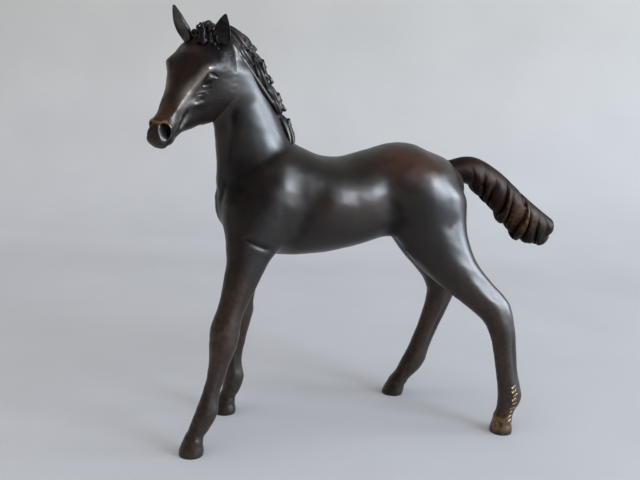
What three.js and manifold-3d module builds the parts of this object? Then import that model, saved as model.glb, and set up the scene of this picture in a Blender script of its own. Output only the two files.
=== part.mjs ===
// A small cast bronze foal, standing on its four hooves with its head turned to its left.
// The casting is one solid. Trunk, neck and legs are lofts through named cross-sections, joined, eased where
// they meet and carved with muscles. The tail, the locks of hair and the head with its ears are joined on,
// and the hooves are cut flat. Millimetres, +Z up, head towards -X, so the foal's left side faces -Y.
import * as THREE from "three";
import { SimplifyModifier } from "three/addons/modifiers/SimplifyModifier.js";
import { mergeVertices } from "three/addons/utils/BufferGeometryUtils.js";
import Module from "manifold-3d";

const wasm = await Module();
wasm.setup();

const ACROSS = new THREE.Vector3(0, 1, 0); // from the foal's left side to its right side
const UP = new THREE.Vector3(0, 0, 1);
const LEFT = -1; // the side towards -Y
const RIGHT = 1;
const WELD = 1e-4; // points closer than this are one
const { degToRad } = THREE.MathUtils;

// Each station is a cross-section: [x, y, z, lead, trail, side].
// lead is the half-depth towards the front of a leg or the top of the trunk, trail the other half,
// and side the half-width.
const TRUNK = [
  [61.5, 0, 131, 11, 13, 11],
  [55, 0, 131, 16.5, 19, 18.5],
  [44, 0, 130, 21.8, 24, 24.5],
  [32, 0, 129.5, 25, 25, 25.5],
  [18, 0, 127, 24, 23, 24.2],
  [2, 0, 123.5, 23.3, 24, 25],
  [-12, 0, 122.5, 24.5, 26, 26],
  [-27, 0, 123, 27.5, 27.5, 24.5],
  [-40, 0, 123, 25, 26, 22],
  [-50, 0, 122, 20.5, 20.5, 19],
  [-56, 0, 121, 16, 16, 15.5],
];

const NECK = [
  [-35, 0, 121, 20, 22, 18],
  [-41, 0, 137, 19, 24.5, 16],
  [-46, -0.5, 151, 16.6, 22.2, 13.2],
  [-51, -1.5, 165, 15, 18.8, 11.4],
  [-56, -3, 178, 13.2, 15.5, 10],
  [-61.5, -4.5, 189, 12.6, 12.5, 9.5],
  [-66, -6, 197, 10.5, 9.5, 9],
];
const NECK_TWIST = 26; // degrees to the left by the time the neck meets the head

const FRONT_LEFT_LEG = [
  [-36, -9, 136, 9, 10, 9],
  [-42, -12, 126, 13, 15, 11.5],
  [-48.5, -14.5, 114, 14.5, 15.5, 11.6],
  [-53, -16.5, 103, 11.6, 13.5, 9.8],
  [-55.3, -18, 95, 8.8, 11.2, 8.4],
  [-58.6, -19.5, 84, 7.4, 9, 7.1],
  [-62, -20.5, 73, 6.3, 7.2, 6.3],
  [-65, -21.3, 62.5, 7.1, 7.2, 6.8],
  [-66, -21.8, 55, 6.8, 7.2, 6.6],
  [-67.6, -22.3, 47, 5.2, 5.4, 5],
  [-69.4, -22.8, 39, 4.3, 4.5, 4.2],
  [-71.9, -23.1, 30.5, 4.1, 4.4, 4],
  [-74, -23.4, 22.5, 4.7, 6, 5],
  [-76.3, -23.6, 16, 4.9, 5.6, 5],
  [-78.9, -23.8, 10.5, 4.3, 4.2, 4.6],
  [-80.3, -24, 6, 5.4, 5.4, 5.7],
  [-81.2, -24, 0, 6.6, 6.6, 6.8],
  [-81.6, -24, -5, 7, 7, 7],
];

const FRONT_RIGHT_LEG = [
  [-34, 9, 136, 9, 10, 9],
  [-40, 12, 126, 14, 15, 11.5],
  [-44.5, 14.5, 114, 16, 15.5, 11.6],
  [-46, 16, 104, 12.4, 13.5, 9.8],
  [-46, 17, 95, 9.8, 11.2, 8.4],
  [-46.6, 18.8, 84, 8.3, 9, 7.1],
  [-47.6, 20, 73, 7.1, 7, 6.3],
  [-48.9, 21, 62.5, 7.4, 6.8, 6.8],
  [-49.2, 21.6, 55, 6.8, 6.6, 6.6],
  [-49.8, 22.2, 47, 5.2, 5.2, 5],
  [-50.6, 22.8, 39, 4.3, 4.4, 4.2],
  [-51.4, 23.1, 30.5, 4.1, 4.3, 4],
  [-51.6, 23.4, 21.5, 4.7, 6, 5],
  [-52.4, 23.6, 15.5, 4.9, 5.6, 5],
  [-54.4, 23.8, 10, 4.3, 4.2, 4.6],
  [-55.4, 24, 6, 5.4, 5.4, 5.7],
  [-56, 24, 0, 6.6, 6.6, 6.8],
  [-56.4, 24, -5, 7, 7, 7],
];

const HIND_LEFT_LEG = [
  [42, -8, 134, 10, 14, 9],
  [42.5, -12.5, 125, 17, 20, 13],
  [44.5, -15.5, 113, 19, 20, 12.4],
  [50, -19, 100, 15.5, 16.3, 10.6],
  [59, -22.5, 87.5, 11, 12, 9],
  [69.5, -26, 77, 9, 9.8, 7.4],
  [79, -28.6, 67.5, 8, 9, 6.7],
  [83.8, -30, 57.5, 7.4, 7, 6.1],
  [86, -30.8, 46, 6.4, 6.4, 5.3],
  [88, -31.2, 34, 6, 6, 5.1],
  [89.7, -31.5, 25, 6, 6.6, 5.5],
  [90.2, -31.7, 18.5, 6, 6.8, 5.7],
  [88.8, -31.9, 12, 5.2, 4.2, 5],
  [87.3, -32, 6, 5.6, 5.1, 5.7],
  [87, -32, 0, 6.5, 6.3, 6.7],
  [87, -32, -5, 7, 7, 7],
];

const HIND_RIGHT_LEG = [
  [42, 8, 134, 10, 14, 9],
  [44, 12.5, 125, 17, 18.5, 13],
  [49, 15.5, 113, 18, 16, 12.4],
  [56, 18.5, 100, 15.5, 13.5, 10.6],
  [64, 21.5, 88, 12.6, 11, 9],
  [70.2, 24.5, 77, 10, 9.2, 7.4],
  [73.8, 27, 66.5, 8.8, 8.8, 6.7],
  [72.5, 28.3, 57, 7.6, 7.2, 6.1],
  [69, 29.2, 46, 6.4, 6.5, 5.3],
  [65, 29.8, 34.5, 6, 6.2, 5.1],
  [61.6, 30.4, 25, 6, 6.8, 5.5],
  [58.4, 30.8, 18.5, 6, 7, 5.7],
  [53.8, 31.3, 12, 4.5, 5, 5],
  [50.2, 31.8, 6, 5.1, 5.8, 5.7],
  [48.4, 32, 0, 6.5, 6.7, 6.7],
  [47.6, 32, -5, 7, 7, 7],
];

// The tail runs the other way, so that lead is its underside and trail its ridge.
const TAIL = [
  [54, 0, 136, 6, 6, 6],
  [63, 0, 139.3, 6, 6.4, 6.2],
  [73, 0, 138.8, 6.8, 8.4, 7],
  [84.5, 0, 132.2, 8, 9.2, 7.4],
  [94, 0, 124.8, 9, 9.3, 7.6],
  [103, 0, 117.3, 10.6, 9.4, 7.6],
  [112, 0, 110.6, 11.6, 9.6, 7.2],
  [122, 0, 105.3, 9, 8.4, 6],
];
const TAIL_WAVES = 8; // strands lying side by side along each side of the tail
const TAIL_WAVE_DEPTH = 2.4;
const TAIL_RIDGE_SHARE = 0.2; // the share of that depth that is left along the ridge
const TAIL_SWEEP = 0.2; // how far towards the tip a strand runs from the ridge to the underside

// The head lies level in its own frame, muzzle towards -X, forehead towards +Z, with the poll at the origin.
const HEAD = [
  [0, 0, -5, 9, 9, 12],
  [-6, 0, -6, 12.6, 15, 13.8],
  [-12, 0, -7, 14, 19, 14.2],
  [-18, 0, -7.5, 13, 20.5, 13.8],
  [-24, 0, -7.5, 11, 20, 11],
  [-30, 0, -7.5, 8.6, 17.5, 7.8],
  [-36, 0, -8, 7, 13.5, 6.1],
  [-42, 0, -8.3, 6.2, 9, 5.5],
  [-47.5, 0, -8.6, 6.2, 6.6, 5.9],
  [-51.5, 0, -9.2, 6, 6, 5.9],
  [-54.5, 0, -9.8, 4.3, 4.4, 4.8],
];
const POLL = [-71.5, -6.2, 199.8];
const HEAD_DIP = 44; // degrees, muzzle below level
const HEAD_TURN = 38; // degrees to the left
const HEAD_TILT = 8; // degrees, right side raised
const HEAD_SQUARENESS = 0.8; // below 1, the sections' corners fill out

// Raised places on the head, in its own frame, as for the body's muscles below.
const HEAD_FEATURES = [
  { at: [-17.5, 12, 3.4], reach: [5.5, 5, 2.6], lean: -8, height: 2.4 }, // brow
  { at: [-27, 8, 0.2], reach: [6.5, 3, 2.2], lean: -11, height: 0.8 }, // edge of the face
  { at: [-36, 5, -2], reach: [6.5, 2.4, 2], lean: -11, height: 0.6 }, // bridge of the nose
  { at: [-22, 12, -2.4], reach: [6.5, 5, 4], lean: 19, height: -1.5 }, // eye socket
  { at: [-20.4, 12.4, -1.6], reach: [3, 5, 1.9], lean: 19, height: 1.5 }, // eyeball
  { at: [-20.4, 12.4, 1], reach: [4.2, 5, 1], lean: 12, height: 0.9 }, // upper lid
  { at: [-21.4, 12, -4.6], reach: [3.6, 5, 0.9], lean: 19, height: 0.8 }, // lower lid
  { at: [-25.5, 10, -6.4], reach: [3.4, 5, 0.9], lean: 30, height: -0.7 }, // crease below the eye
  { at: [-29.5, 9, -9], reach: [5, 5, 1.5], lean: 20, height: 0.9 }, // cheek bone
  { at: [-39.5, 6, -9.6], reach: [5.5, 5, 1.1], lean: -23, height: -0.8 }, // groove to the mouth's corner
  { at: [-15, 12, -17], reach: [8, 7, 8], lean: 0, height: 1.2 }, // jowl
  { at: [-50, 6.4, -5], reach: [3.4, 3, 2.8], lean: 0, height: 1.2 }, // nostril's flare
  { at: [-49.5, 0, -15.4], reach: [4, 4, 2], lean: 0, height: 0.8 }, // chin
];
const NOSTRIL = { at: [-52.4, 5.6, -6.2], half: [2.2, 1.7, 2.7] };

// An ear stands along its own Z axis, tip first, and opens towards -X: a negative lead hollows it.
const EAR = [
  [0.6, 0, 17, 0.2, 0.7, 0.6],
  [0, 0, 14, -0.6, 1.8, 2],
  [-0.4, 0, 10, -1.5, 3, 3.6],
  [-0.4, 0, 5.5, -1.7, 3.8, 4.4],
  [0, 0, 1, 1, 3.9, 4],
  [0.5, 0, -4, 2, 2.4, 2.4],
];
const EAR_ROOT = [-3.4, 10.4, 2.4];
const EAR_BACK = 18; // degrees the ear leans backwards
const EAR_OUT = 15; // degrees it leans to its own side
const EAR_OPEN = 12; // degrees its opening faces away from straight ahead

// Muscles raised on the body: centre on the right side, reach along x, y and z, lean of the x axis about
// ACROSS in degrees, and height. A negative height is a hollow.
const MUSCLES = [
  { at: [-24, 26, 118], reach: [6, 12, 20], lean: 20, height: -1.4 }, // hollow behind the shoulder
  { at: [4, 22, 108], reach: [18, 16, 8], lean: 0, height: 1 }, // ribs
  { at: [22, 24, 122], reach: [7, 14, 14], lean: -25, height: -2 }, // hollow of the flank
  { at: [42, 22, 140], reach: [14, 14, 12], lean: 0, height: 1.2 }, // hip
  { at: [58, 14, 126], reach: [9, 12, 16], lean: 0, height: 0.8 }, // seat bone
  { at: [-40, 22, 134], reach: [9, 8, 9], lean: 0, height: 1 }, // shoulder
  { at: [-60, 15, 122], reach: [7, 6, 8], lean: 0, height: 1.2 }, // point of the shoulder
  { at: [-64, 8.5, 130], reach: [5, 2.6, 8], lean: 15, height: -1 }, // furrow beside the neck
  { at: [-50, 25, 105.5], reach: [8, 7, 2.4], lean: 22, height: -1 }, // crease of the elbow
  { at: [52, 26, 114.6], reach: [6.5, 7, 2.6], lean: -40, height: -1 }, // crease of the haunch
  { at: [-63, 7, 118], reach: [8, 6, 8], lean: 0, height: 1.2 }, // breast
  { at: [-68, 0, 119], reach: [9, 3, 12], lean: 0, height: -1.6 }, // furrow between the breasts
];

// How wide the fillets are where one form grows out of another.
const FILLET = { neck: 9, leg: 9, tail: 4 };

const GROUND = [400, 400, 40]; // the block below Z = 0 that cuts the hooves flat

// The way a row of stations bends and swells: one curve for the centres, one for the sizes.
function rail(stations, { across = ACROSS, twist = 0 } = {}) {
  const centres = stations.map(([x, y, z]) => new THREE.Vector3(x, y, z));
  const sizes = stations.map(([, , , lead, trail, side]) => new THREE.Vector3(lead, trail, side));
  const [path, size] = [centres, sizes].map((p) => new THREE.CatmullRomCurve3(p, false, "catmullrom"));
  return { path, size, across, twist, spans: stations.length - 1 };
}

// The cross-section at t: its centre, its axes, its half-depths and its half-width.
function section({ path, size, across, twist }, t) {
  const along = path.getTangent(t);
  const side = across.clone().applyAxisAngle(UP, degToRad(twist * t));
  side.addScaledVector(along, -side.dot(along)).normalize();
  const { x: lead, y: trail, z: half } = size.getPoint(t);
  return { centre: path.getPoint(t), along, side, front: side.clone().cross(along), lead, trail, half };
}

// A point at an angle round a section, measured from the front, at scale times its radius.
function onSection({ centre, side, front, lead, trail, half }, angle, scale = 1, squareness = 1) {
  const fill = (v) => Math.sign(v) * Math.abs(v) ** squareness * scale;
  const [c, s] = [fill(Math.cos(angle)), fill(Math.sin(angle))];
  return centre
    .clone()
    .addScaledVector(front, c * (c > 0 ? lead : trail))
    .addScaledVector(side, s * half);
}

// Roughly how far a point is outside a rail's body, as the nearest of many ellipsoids strung along the rail.
function measure(track, { samples = 30, plumpness = 0.8 } = {}) {
  const cuts = Array.from({ length: samples + 1 }, (_, i) => section(track, i / samples));
  return (point) =>
    Math.min(
      ...cuts.map(({ centre, along, side, front, lead, trail, half }) => {
        const offset = point.clone().sub(centre);
        const q = [offset.dot(front), offset.dot(side), offset.dot(along)];
        const radii = [q[0] > 0 ? lead : trail, half, plumpness * Math.min(trail, half)];
        const k0 = Math.hypot(...q.map((v, i) => v / radii[i]));
        const k1 = Math.hypot(...q.map((v, i) => v / radii[i] ** 2));
        return k1 ? (k0 * (k0 - 1)) / k1 : -Math.min(...radii);
      }),
    );
}

// The height that fills the crease where the surface meets other bodies.
const filletTo = (distances, width) => (point) =>
  distances.reduce((sum, far) => sum + (width / 4) * Math.max(0, 1 - Math.abs(far(point)) / width) ** 2, 0);

// A closed body carried along a rail, with domed ends. relief gives the height to raise a point by, and
// sweep the distance a ring runs ahead along the rail at an angle, fading out over each end's share.
const DOME_ANGLES = [80, 60, 40, 20];
const SWEEP_END = 0.2;
function loft(track, { sides = 12, steps = 2, dome = 0.6, squareness = 1, relief = () => 0, sweep } = {}) {
  const ring = (t, slide, scale) =>
    Array.from({ length: sides }, (_, i) => {
      const angle = (i / sides) * 2 * Math.PI;
      const ahead = sweep ? sweep(angle) * Math.min(1, t / SWEEP_END, (1 - t) / SWEEP_END) : 0;
      const cut = section(track, t + ahead);
      const flat = cut.centre.clone();
      cut.centre.addScaledVector(cut.along, slide * dome * Math.min(cut.trail, cut.half));
      const point = onSection(cut, angle, scale, squareness);
      const outwards = point.clone().sub(flat).normalize();
      return point.addScaledVector(outwards, relief(point, t, angle));
    });
  const cap = DOME_ANGLES.map(degToRad);
  const count = Math.round(track.spans * steps);
  return skin([
    ...cap.map((a) => ring(0, -Math.sin(a), Math.cos(a))),
    ...Array.from({ length: count + 1 }, (_, i) => ring(i / count, 0, 1)),
    ...cap.reverse().map((a) => ring(1, Math.sin(a), Math.cos(a))),
  ]);
}

// The closed surface over a stack of rings, each end filled by a fan about its middle.
function skin(rings) {
  const sides = rings[0].length;
  const positions = rings.flat().flatMap((p) => p.toArray());
  const index = [];
  for (let r = 0; r + 1 < rings.length; r++)
    for (let i = 0; i < sides; i++) {
      const [a, b] = [r * sides + i, r * sides + ((i + 1) % sides)];
      index.push(a, b, a + sides, b, b + sides, a + sides);
    }
  for (const end of [0, rings.length - 1]) {
    const middle = rings[end].reduce((sum, p) => sum.add(p), new THREE.Vector3()).divideScalar(sides);
    const apex = positions.push(...middle.toArray()) / 3 - 1;
    for (let i = 0; i < sides; i++) {
      const [a, b] = [end * sides + i, end * sides + ((i + 1) % sides)];
      index.push(...(end ? [apex, a, b] : [apex, b, a]));
    }
  }
  const geometry = new THREE.BufferGeometry();
  geometry.setAttribute("position", new THREE.Float32BufferAttribute(positions, 3));
  geometry.setIndex(index);
  return geometry;
}

// The height that a list of muscles raises a point by, alike on both sides.
function raisedBy(muscles) {
  const turned = muscles.map(({ at, reach, lean, height }) => ({
    centre: new THREE.Vector3(...at),
    reach: new THREE.Vector3(...reach),
    lean: degToRad(lean),
    height,
  }));
  return (point) =>
    turned.reduce((sum, { centre, reach, lean, height }) => {
      const q = new THREE.Vector3(point.x, Math.abs(point.y), point.z).sub(centre);
      return sum + height * Math.exp(-q.applyAxisAngle(ACROSS, -lean).divide(reach).lengthSq());
    }, 0);
}

// The ellipsoid that hollows a nostril.
function nostril(side) {
  const { at, half } = NOSTRIL;
  return new THREE.SphereGeometry(1, 12, 8).scale(...half).translate(at[0], side * at[1], at[2]);
}

const bothSides = (make) => [LEFT, RIGHT].map(make);

// A lock of hair: a soft strand through four points, full in the middle and tapered at its tip.
const LOCK_SHAPE = [0.55, 1, 0.9, 0.35]; // its radius at each point, as shares of its thickness
function lock(points, thickness) {
  const stations = points.map((p, i) => {
    const radius = thickness * LOCK_SHAPE[i];
    return [...p.toArray(), radius, radius, radius];
  });
  return loft(rail(stations), { sides: 10, steps: 3 });
}

// Locks of the mane lie along the crest in overlapping pairs, each swinging out and down.
const MANE_LOBES = 4;
const MANE_FROM = 1.02; // place along the neck, 0 at its root and 1 at the poll
const MANE_TO = 0.24;
const MANE_THICKNESS = 3.5;
const MANE_THINNING = 0.03; // share lost from one lock to the next
const MANE_SWING = [
  // lobes down the neck, degrees round from the crest, share of the neck's radius
  [0.05, 4, 0.9],
  [0.4, 14, 1.02],
  [0.85, 22, 1.04],
  [1.2, 30, 0.94],
];
function maneLocks(neck) {
  const lobe = (MANE_FROM - MANE_TO) / MANE_LOBES;
  return Array.from({ length: MANE_LOBES * 2 }, (_, i) => {
    const side = i % 2 ? RIGHT : LEFT;
    const start = MANE_FROM - (i / 2) * lobe;
    const path = MANE_SWING.map(([down, degrees, depth]) =>
      onSection(section(neck, Math.min(1, start - down * lobe)), side * degToRad(degrees), depth),
    );
    return lock(path, MANE_THICKNESS * (1 - MANE_THINNING * i));
  });
}

// The depth of the furrow between two strands of the tail: shallow along the ridge, deep underneath.
function tailFurrow(t, angle) {
  const depth = TAIL_WAVE_DEPTH * THREE.MathUtils.lerp(TAIL_RIDGE_SHARE, 1, Math.cos(angle / 2) ** 2);
  return depth * Math.cos(Math.PI * TAIL_WAVES * t) ** 2;
}

function ear(side) {
  return loft(rail(EAR), { sides: 24, steps: 4, dome: 0.3 })
    .rotateZ(degToRad(-side * EAR_OPEN))
    .rotateX(degToRad(-side * EAR_OUT))
    .rotateY(degToRad(EAR_BACK))
    .translate(EAR_ROOT[0], side * EAR_ROOT[1], EAR_ROOT[2]);
}

// Locks of the forelock fold over the poll between the ears: [place across, height of the fold].
const FORELOCK = [
  [-7.5, 9],
  [-5, 11],
  [-2.5, 12.4],
  [0.5, 10],
  [3.5, 7.6],
  [6.5, 6],
  [9, 5],
];
const FORELOCK_THICKNESS = 2.5;
const FORELOCK_REACH = [6, 8]; // how far every other lock hangs forwards
const FORELOCK_FOLD = [
  // start behind the poll, share of the reach, aside, drop below the fold's top
  [2.5, 0, 0, 7],
  [1.5, 0, 0, 2.6],
  [0, 0.4, 0.5, 2.6],
  [0, 1, 1.8, 6.5],
];
function forelock() {
  return FORELOCK.map(([y, top], i) => {
    const reach = FORELOCK_REACH[i % 2];
    const path = FORELOCK_FOLD.map(
      ([behind, share, aside, drop]) => new THREE.Vector3(behind - share * reach, y - aside, top - drop),
    );
    return lock(path, FORELOCK_THICKNESS);
  });
}

function placeHead(geometry) {
  return geometry
    .rotateX(degToRad(HEAD_TILT))
    .rotateY(degToRad(-HEAD_DIP))
    .rotateZ(degToRad(HEAD_TURN))
    .translate(...POLL);
}

function headSolid() {
  const skull = loft(rail(HEAD), {
    sides: 60,
    steps: 6,
    squareness: HEAD_SQUARENESS,
    relief: raisedBy(HEAD_FEATURES),
  });
  const nostrils = bothSides(nostril);
  const join = (list) => joined(list.map(placeHead));
  return join([skull, ...bothSides(ear), ...forelock()]).subtract(join(nostrils));
}

// Eases the creases of a body's upper part: each point moves towards the mean of its neighbours and partly
// back again, which rounds a crease and keeps the volume.
const EASE_PASSES = 20;
const EASE_STEPS = [0.5, -0.52];
const EASE_ABOVE = [70, 90]; // height where easing begins, and where it is full
function eased(geometry) {
  const points = pointsOf(geometry);
  const near = points.map(() => new Set());
  const index = geometry.index.array;
  for (let i = 0; i < index.length; i += 3)
    for (let k = 0; k < 3; k++) near[index[i + k]].add(index[i + ((k + 1) % 3)]);
  const share = points.map((p) => THREE.MathUtils.smoothstep(p.z, ...EASE_ABOVE));
  const passes = Array.from({ length: EASE_PASSES }, () => EASE_STEPS).flat();
  for (const step of passes) {
    const means = near.map((set) => {
      const sum = [...set].reduce((total, n) => total.add(points[n]), new THREE.Vector3());
      return sum.divideScalar(set.size);
    });
    points.forEach((p, i) => p.lerp(means[i], step * share[i]));
  }
  return movedTo(geometry, points);
}

// Takes out the points that the shape can best do without, until the given number is left.
const FLESH_POINTS = 8400;
const ALL_POINTS = 4950;
function thinned(geometry, kept) {
  return new SimplifyModifier().modify(geometry, geometry.attributes.position.count - kept);
}

// Moves each point of a geometry along its normal by the relief there.
function carved(geometry, relief) {
  geometry.computeVertexNormals();
  const normals = pointsOf(geometry, "normal");
  return movedTo(geometry, pointsOf(geometry).map((p, i) => p.addScaledVector(normals[i], relief(p))));
}

function pointsOf(geometry, name = "position") {
  const values = geometry.getAttribute(name);
  return Array.from({ length: values.count }, (_, i) => new THREE.Vector3().fromBufferAttribute(values, i));
}

function movedTo(geometry, points) {
  const moved = new THREE.BufferGeometry().setFromPoints(points);
  return moved.setIndex(geometry.index);
}

function meshOf(solid) {
  const { vertProperties, triVerts } = solid.getMesh();
  const geometry = new THREE.BufferGeometry();
  geometry.setAttribute("position", new THREE.BufferAttribute(vertProperties, 3));
  return geometry.setIndex(new THREE.BufferAttribute(triVerts, 1));
}

function solidOf(geometry) {
  const bare = geometry.clone();
  bare.deleteAttribute("normal");
  bare.deleteAttribute("uv");
  const merged = mergeVertices(bare, WELD);
  return new wasm.Manifold(
    new wasm.Mesh({
      numProp: 3,
      vertProperties: merged.attributes.position.array,
      triVerts: new Uint32Array(merged.index.array),
    }),
  );
}

function joined(list) {
  return list.map(solidOf).reduce((all, piece) => all.add(piece));
}

const trunk = rail(TRUNK);
const neck = rail(NECK, { twist: NECK_TWIST });
const tail = rail(TAIL);
const legs = [FRONT_LEFT_LEG, FRONT_RIGHT_LEG, HIND_LEFT_LEG, HIND_RIGHT_LEG].map((leg) => rail(leg));
const trunkIs = measure(trunk);
const toNeck = filletTo([measure(neck)], FILLET.neck);
const toLegs = filletTo(legs.map((leg) => measure(leg)), FILLET.leg);
const toTrunk = filletTo([trunkIs], FILLET.tail);

const flesh = joined([
  loft(trunk, { sides: 48, steps: 5, relief: (p) => toNeck(p) + toLegs(p) }),
  loft(neck, { sides: 36, steps: 5, relief: filletTo([trunkIs], FILLET.neck) }),
  ...legs.map((leg) => loft(leg, { sides: 24, steps: 4, relief: filletTo([trunkIs], FILLET.leg) })),
]);
const hair = [
  loft(tail, {
    sides: 28,
    steps: (TAIL_WAVES * 8) / tail.spans,
    sweep: (angle) => TAIL_SWEEP * (0.5 - Math.abs(Math.sin(angle / 2))),
    relief: (point, t, angle) => toTrunk(point) - tailFurrow(t, angle),
  }),
  ...maneLocks(neck),
];
const trimmed = carved(eased(await thinned(meshOf(flesh), FLESH_POINTS)), raisedBy(MUSCLES));
const whole = meshOf(solidOf(trimmed).add(joined(hair)).add(headSolid()));
const light = await thinned(whole, ALL_POINTS);

const ground = solidOf(new THREE.BoxGeometry(...GROUND).translate(0, 0, -GROUND[2] / 2));
const geometry = meshOf(solidOf(light).subtract(ground));
geometry.computeBoundingBox();
const middle = geometry.boundingBox.getCenter(new THREE.Vector3());
geometry.translate(-middle.x, -middle.y, 0);
geometry.computeVertexNormals();

const bronze = new THREE.MeshStandardMaterial({ color: 0x2b2422, roughness: 0.35, metalness: 1 });
const foal = new THREE.Mesh(geometry, bronze);
foal.name = "foal";

const group = new THREE.Group();
group.add(foal);

export default group;
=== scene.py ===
"""A small cast bronze foal with a dark waxed patina, standing on its four hooves, its head turned to its
left.

Shapes are worked out in millimetres, with the head towards -X, the foal's left side towards -Y and the
soles at Z = 0. They are moved to metres, about the middle of the casting, when they become meshes.
"""

import logging
import math
from dataclasses import dataclass, replace
from enum import Enum
from typing import Callable

import bmesh
import bpy
import numpy as np
from mathutils import Matrix


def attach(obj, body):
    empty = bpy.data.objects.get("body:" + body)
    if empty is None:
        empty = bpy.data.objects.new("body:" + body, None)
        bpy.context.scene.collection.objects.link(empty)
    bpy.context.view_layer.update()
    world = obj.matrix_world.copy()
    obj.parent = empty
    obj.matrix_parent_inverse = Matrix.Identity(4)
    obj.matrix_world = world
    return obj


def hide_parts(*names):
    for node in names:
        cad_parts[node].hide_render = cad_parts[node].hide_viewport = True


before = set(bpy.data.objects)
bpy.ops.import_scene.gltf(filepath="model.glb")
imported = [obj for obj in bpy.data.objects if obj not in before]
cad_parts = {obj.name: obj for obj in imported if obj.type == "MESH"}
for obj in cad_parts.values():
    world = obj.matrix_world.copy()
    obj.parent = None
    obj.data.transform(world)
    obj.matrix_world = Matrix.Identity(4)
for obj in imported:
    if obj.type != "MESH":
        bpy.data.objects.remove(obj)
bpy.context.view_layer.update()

LOG = logging.getLogger("foal")
Array = np.ndarray
Colour = tuple[float, float, float]
Row = tuple[float, ...]

Socket = bpy.types.NodeSocket
Material = bpy.types.Material

CASTING_MIDDLE = (12.113, 0.003, 0.0)  # middle of the casting's underside, at the frame's origin
METRES = 0.001
TINY = 1e-12  # keeps a division from one by nothing
BODY = "root"
NODE = "foal"
ACROSS = np.array([0.0, 1.0, 0.0])  # from the foal's left side to its right side


class Side(Enum):
    """A side of the foal, as the sign of Y there."""

    LEFT = -1
    RIGHT = 1
    BOTH = 0


# Curves and sections


def unit(vectors: Array) -> Array:
    """Each vector divided by its own length.

    Args:
        vectors: any stack of vectors, along the last axis.

    Returns:
        The same stack, each of length one.
    """
    return vectors / np.maximum(np.linalg.norm(vectors, axis=-1, keepdims=True), TINY)


def rise(values: Array, low: float, high: float) -> Array:
    """The smooth step 3s^2 - 2s^3, where s runs from 0 at low to 1 at high.

    Args:
        values: where the step is wanted.
        low: the value at which it leaves 0.
        high: the value at which it reaches 1.

    Returns:
        The step at each value.
    """
    share = np.clip((values - low) / (high - low), 0, 1)
    return share * share * (3 - 2 * share)


def bell(values: Array, middle: float, width: float) -> Array:
    """The bell curve exp(-((v - middle) / width)^2).

    Args:
        values: where the curve is wanted.
        middle: the value at its top.
        width: how far from there it has sunk to 37 percent.

    Returns:
        The curve at each value.
    """
    return np.exp(-(((values - middle) / width) ** 2))


def through(rows: Array, shares: Array) -> Array:
    """A smooth curve through all the rows: between two of them it is the cubic whose slope at each row is
    half the step between the rows on either side, and past each end the last step is repeated.

    Args:
        rows: the points, or any other numbers, that the curve passes through.
        shares: places along it, 0 at the first row and 1 at the last.

    Returns:
        The curve at each place.
    """
    rows = np.asarray(rows, float)
    spans = len(rows) - 1
    place = np.clip(shares, 0, 1) * spans
    span = np.minimum(place.astype(int), spans - 1)
    w = (place - span)[..., None]
    longer = np.vstack([2 * rows[0] - rows[1], rows, 2 * rows[-1] - rows[-2]])
    a, b, c, d = (longer[span + k] for k in range(4))
    return 0.5 * (2 * b + (c - a) * w + (2 * a - 5 * b + 4 * c - d) * w**2 + (3 * b - a - 3 * c + d) * w**3)


@dataclass(frozen=True)
class Section:
    """Cross-sections of a rail: centres, axes and half sizes, as whole arrays."""

    centre: Array
    along: Array
    side: Array
    front: Array
    lead: Array
    trail: Array
    half: Array

    def at(self, angle: Array, scale: Array | float = 1.0, squareness: float = 1.0) -> Array:
        """Points round the sections: centre + front * c * (lead or trail) + side * s * half, where c and s
        are the cosine and the sine of the angle, each with its size raised to the power squareness.

        Args:
            angle: the angle from the front, in radians.
            scale: the share of the full radius.
            squareness: below 1 the section's corners fill out.

        Returns:
            One point for each section and angle.
        """
        c, s = (np.sign(v) * np.abs(v) ** squareness * scale for v in (np.cos(angle), np.sin(angle)))
        depth = c * np.where(c > 0, self.lead, self.trail)
        return self.centre + self.front * depth[..., None] + self.side * (s * self.half)[..., None]


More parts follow.
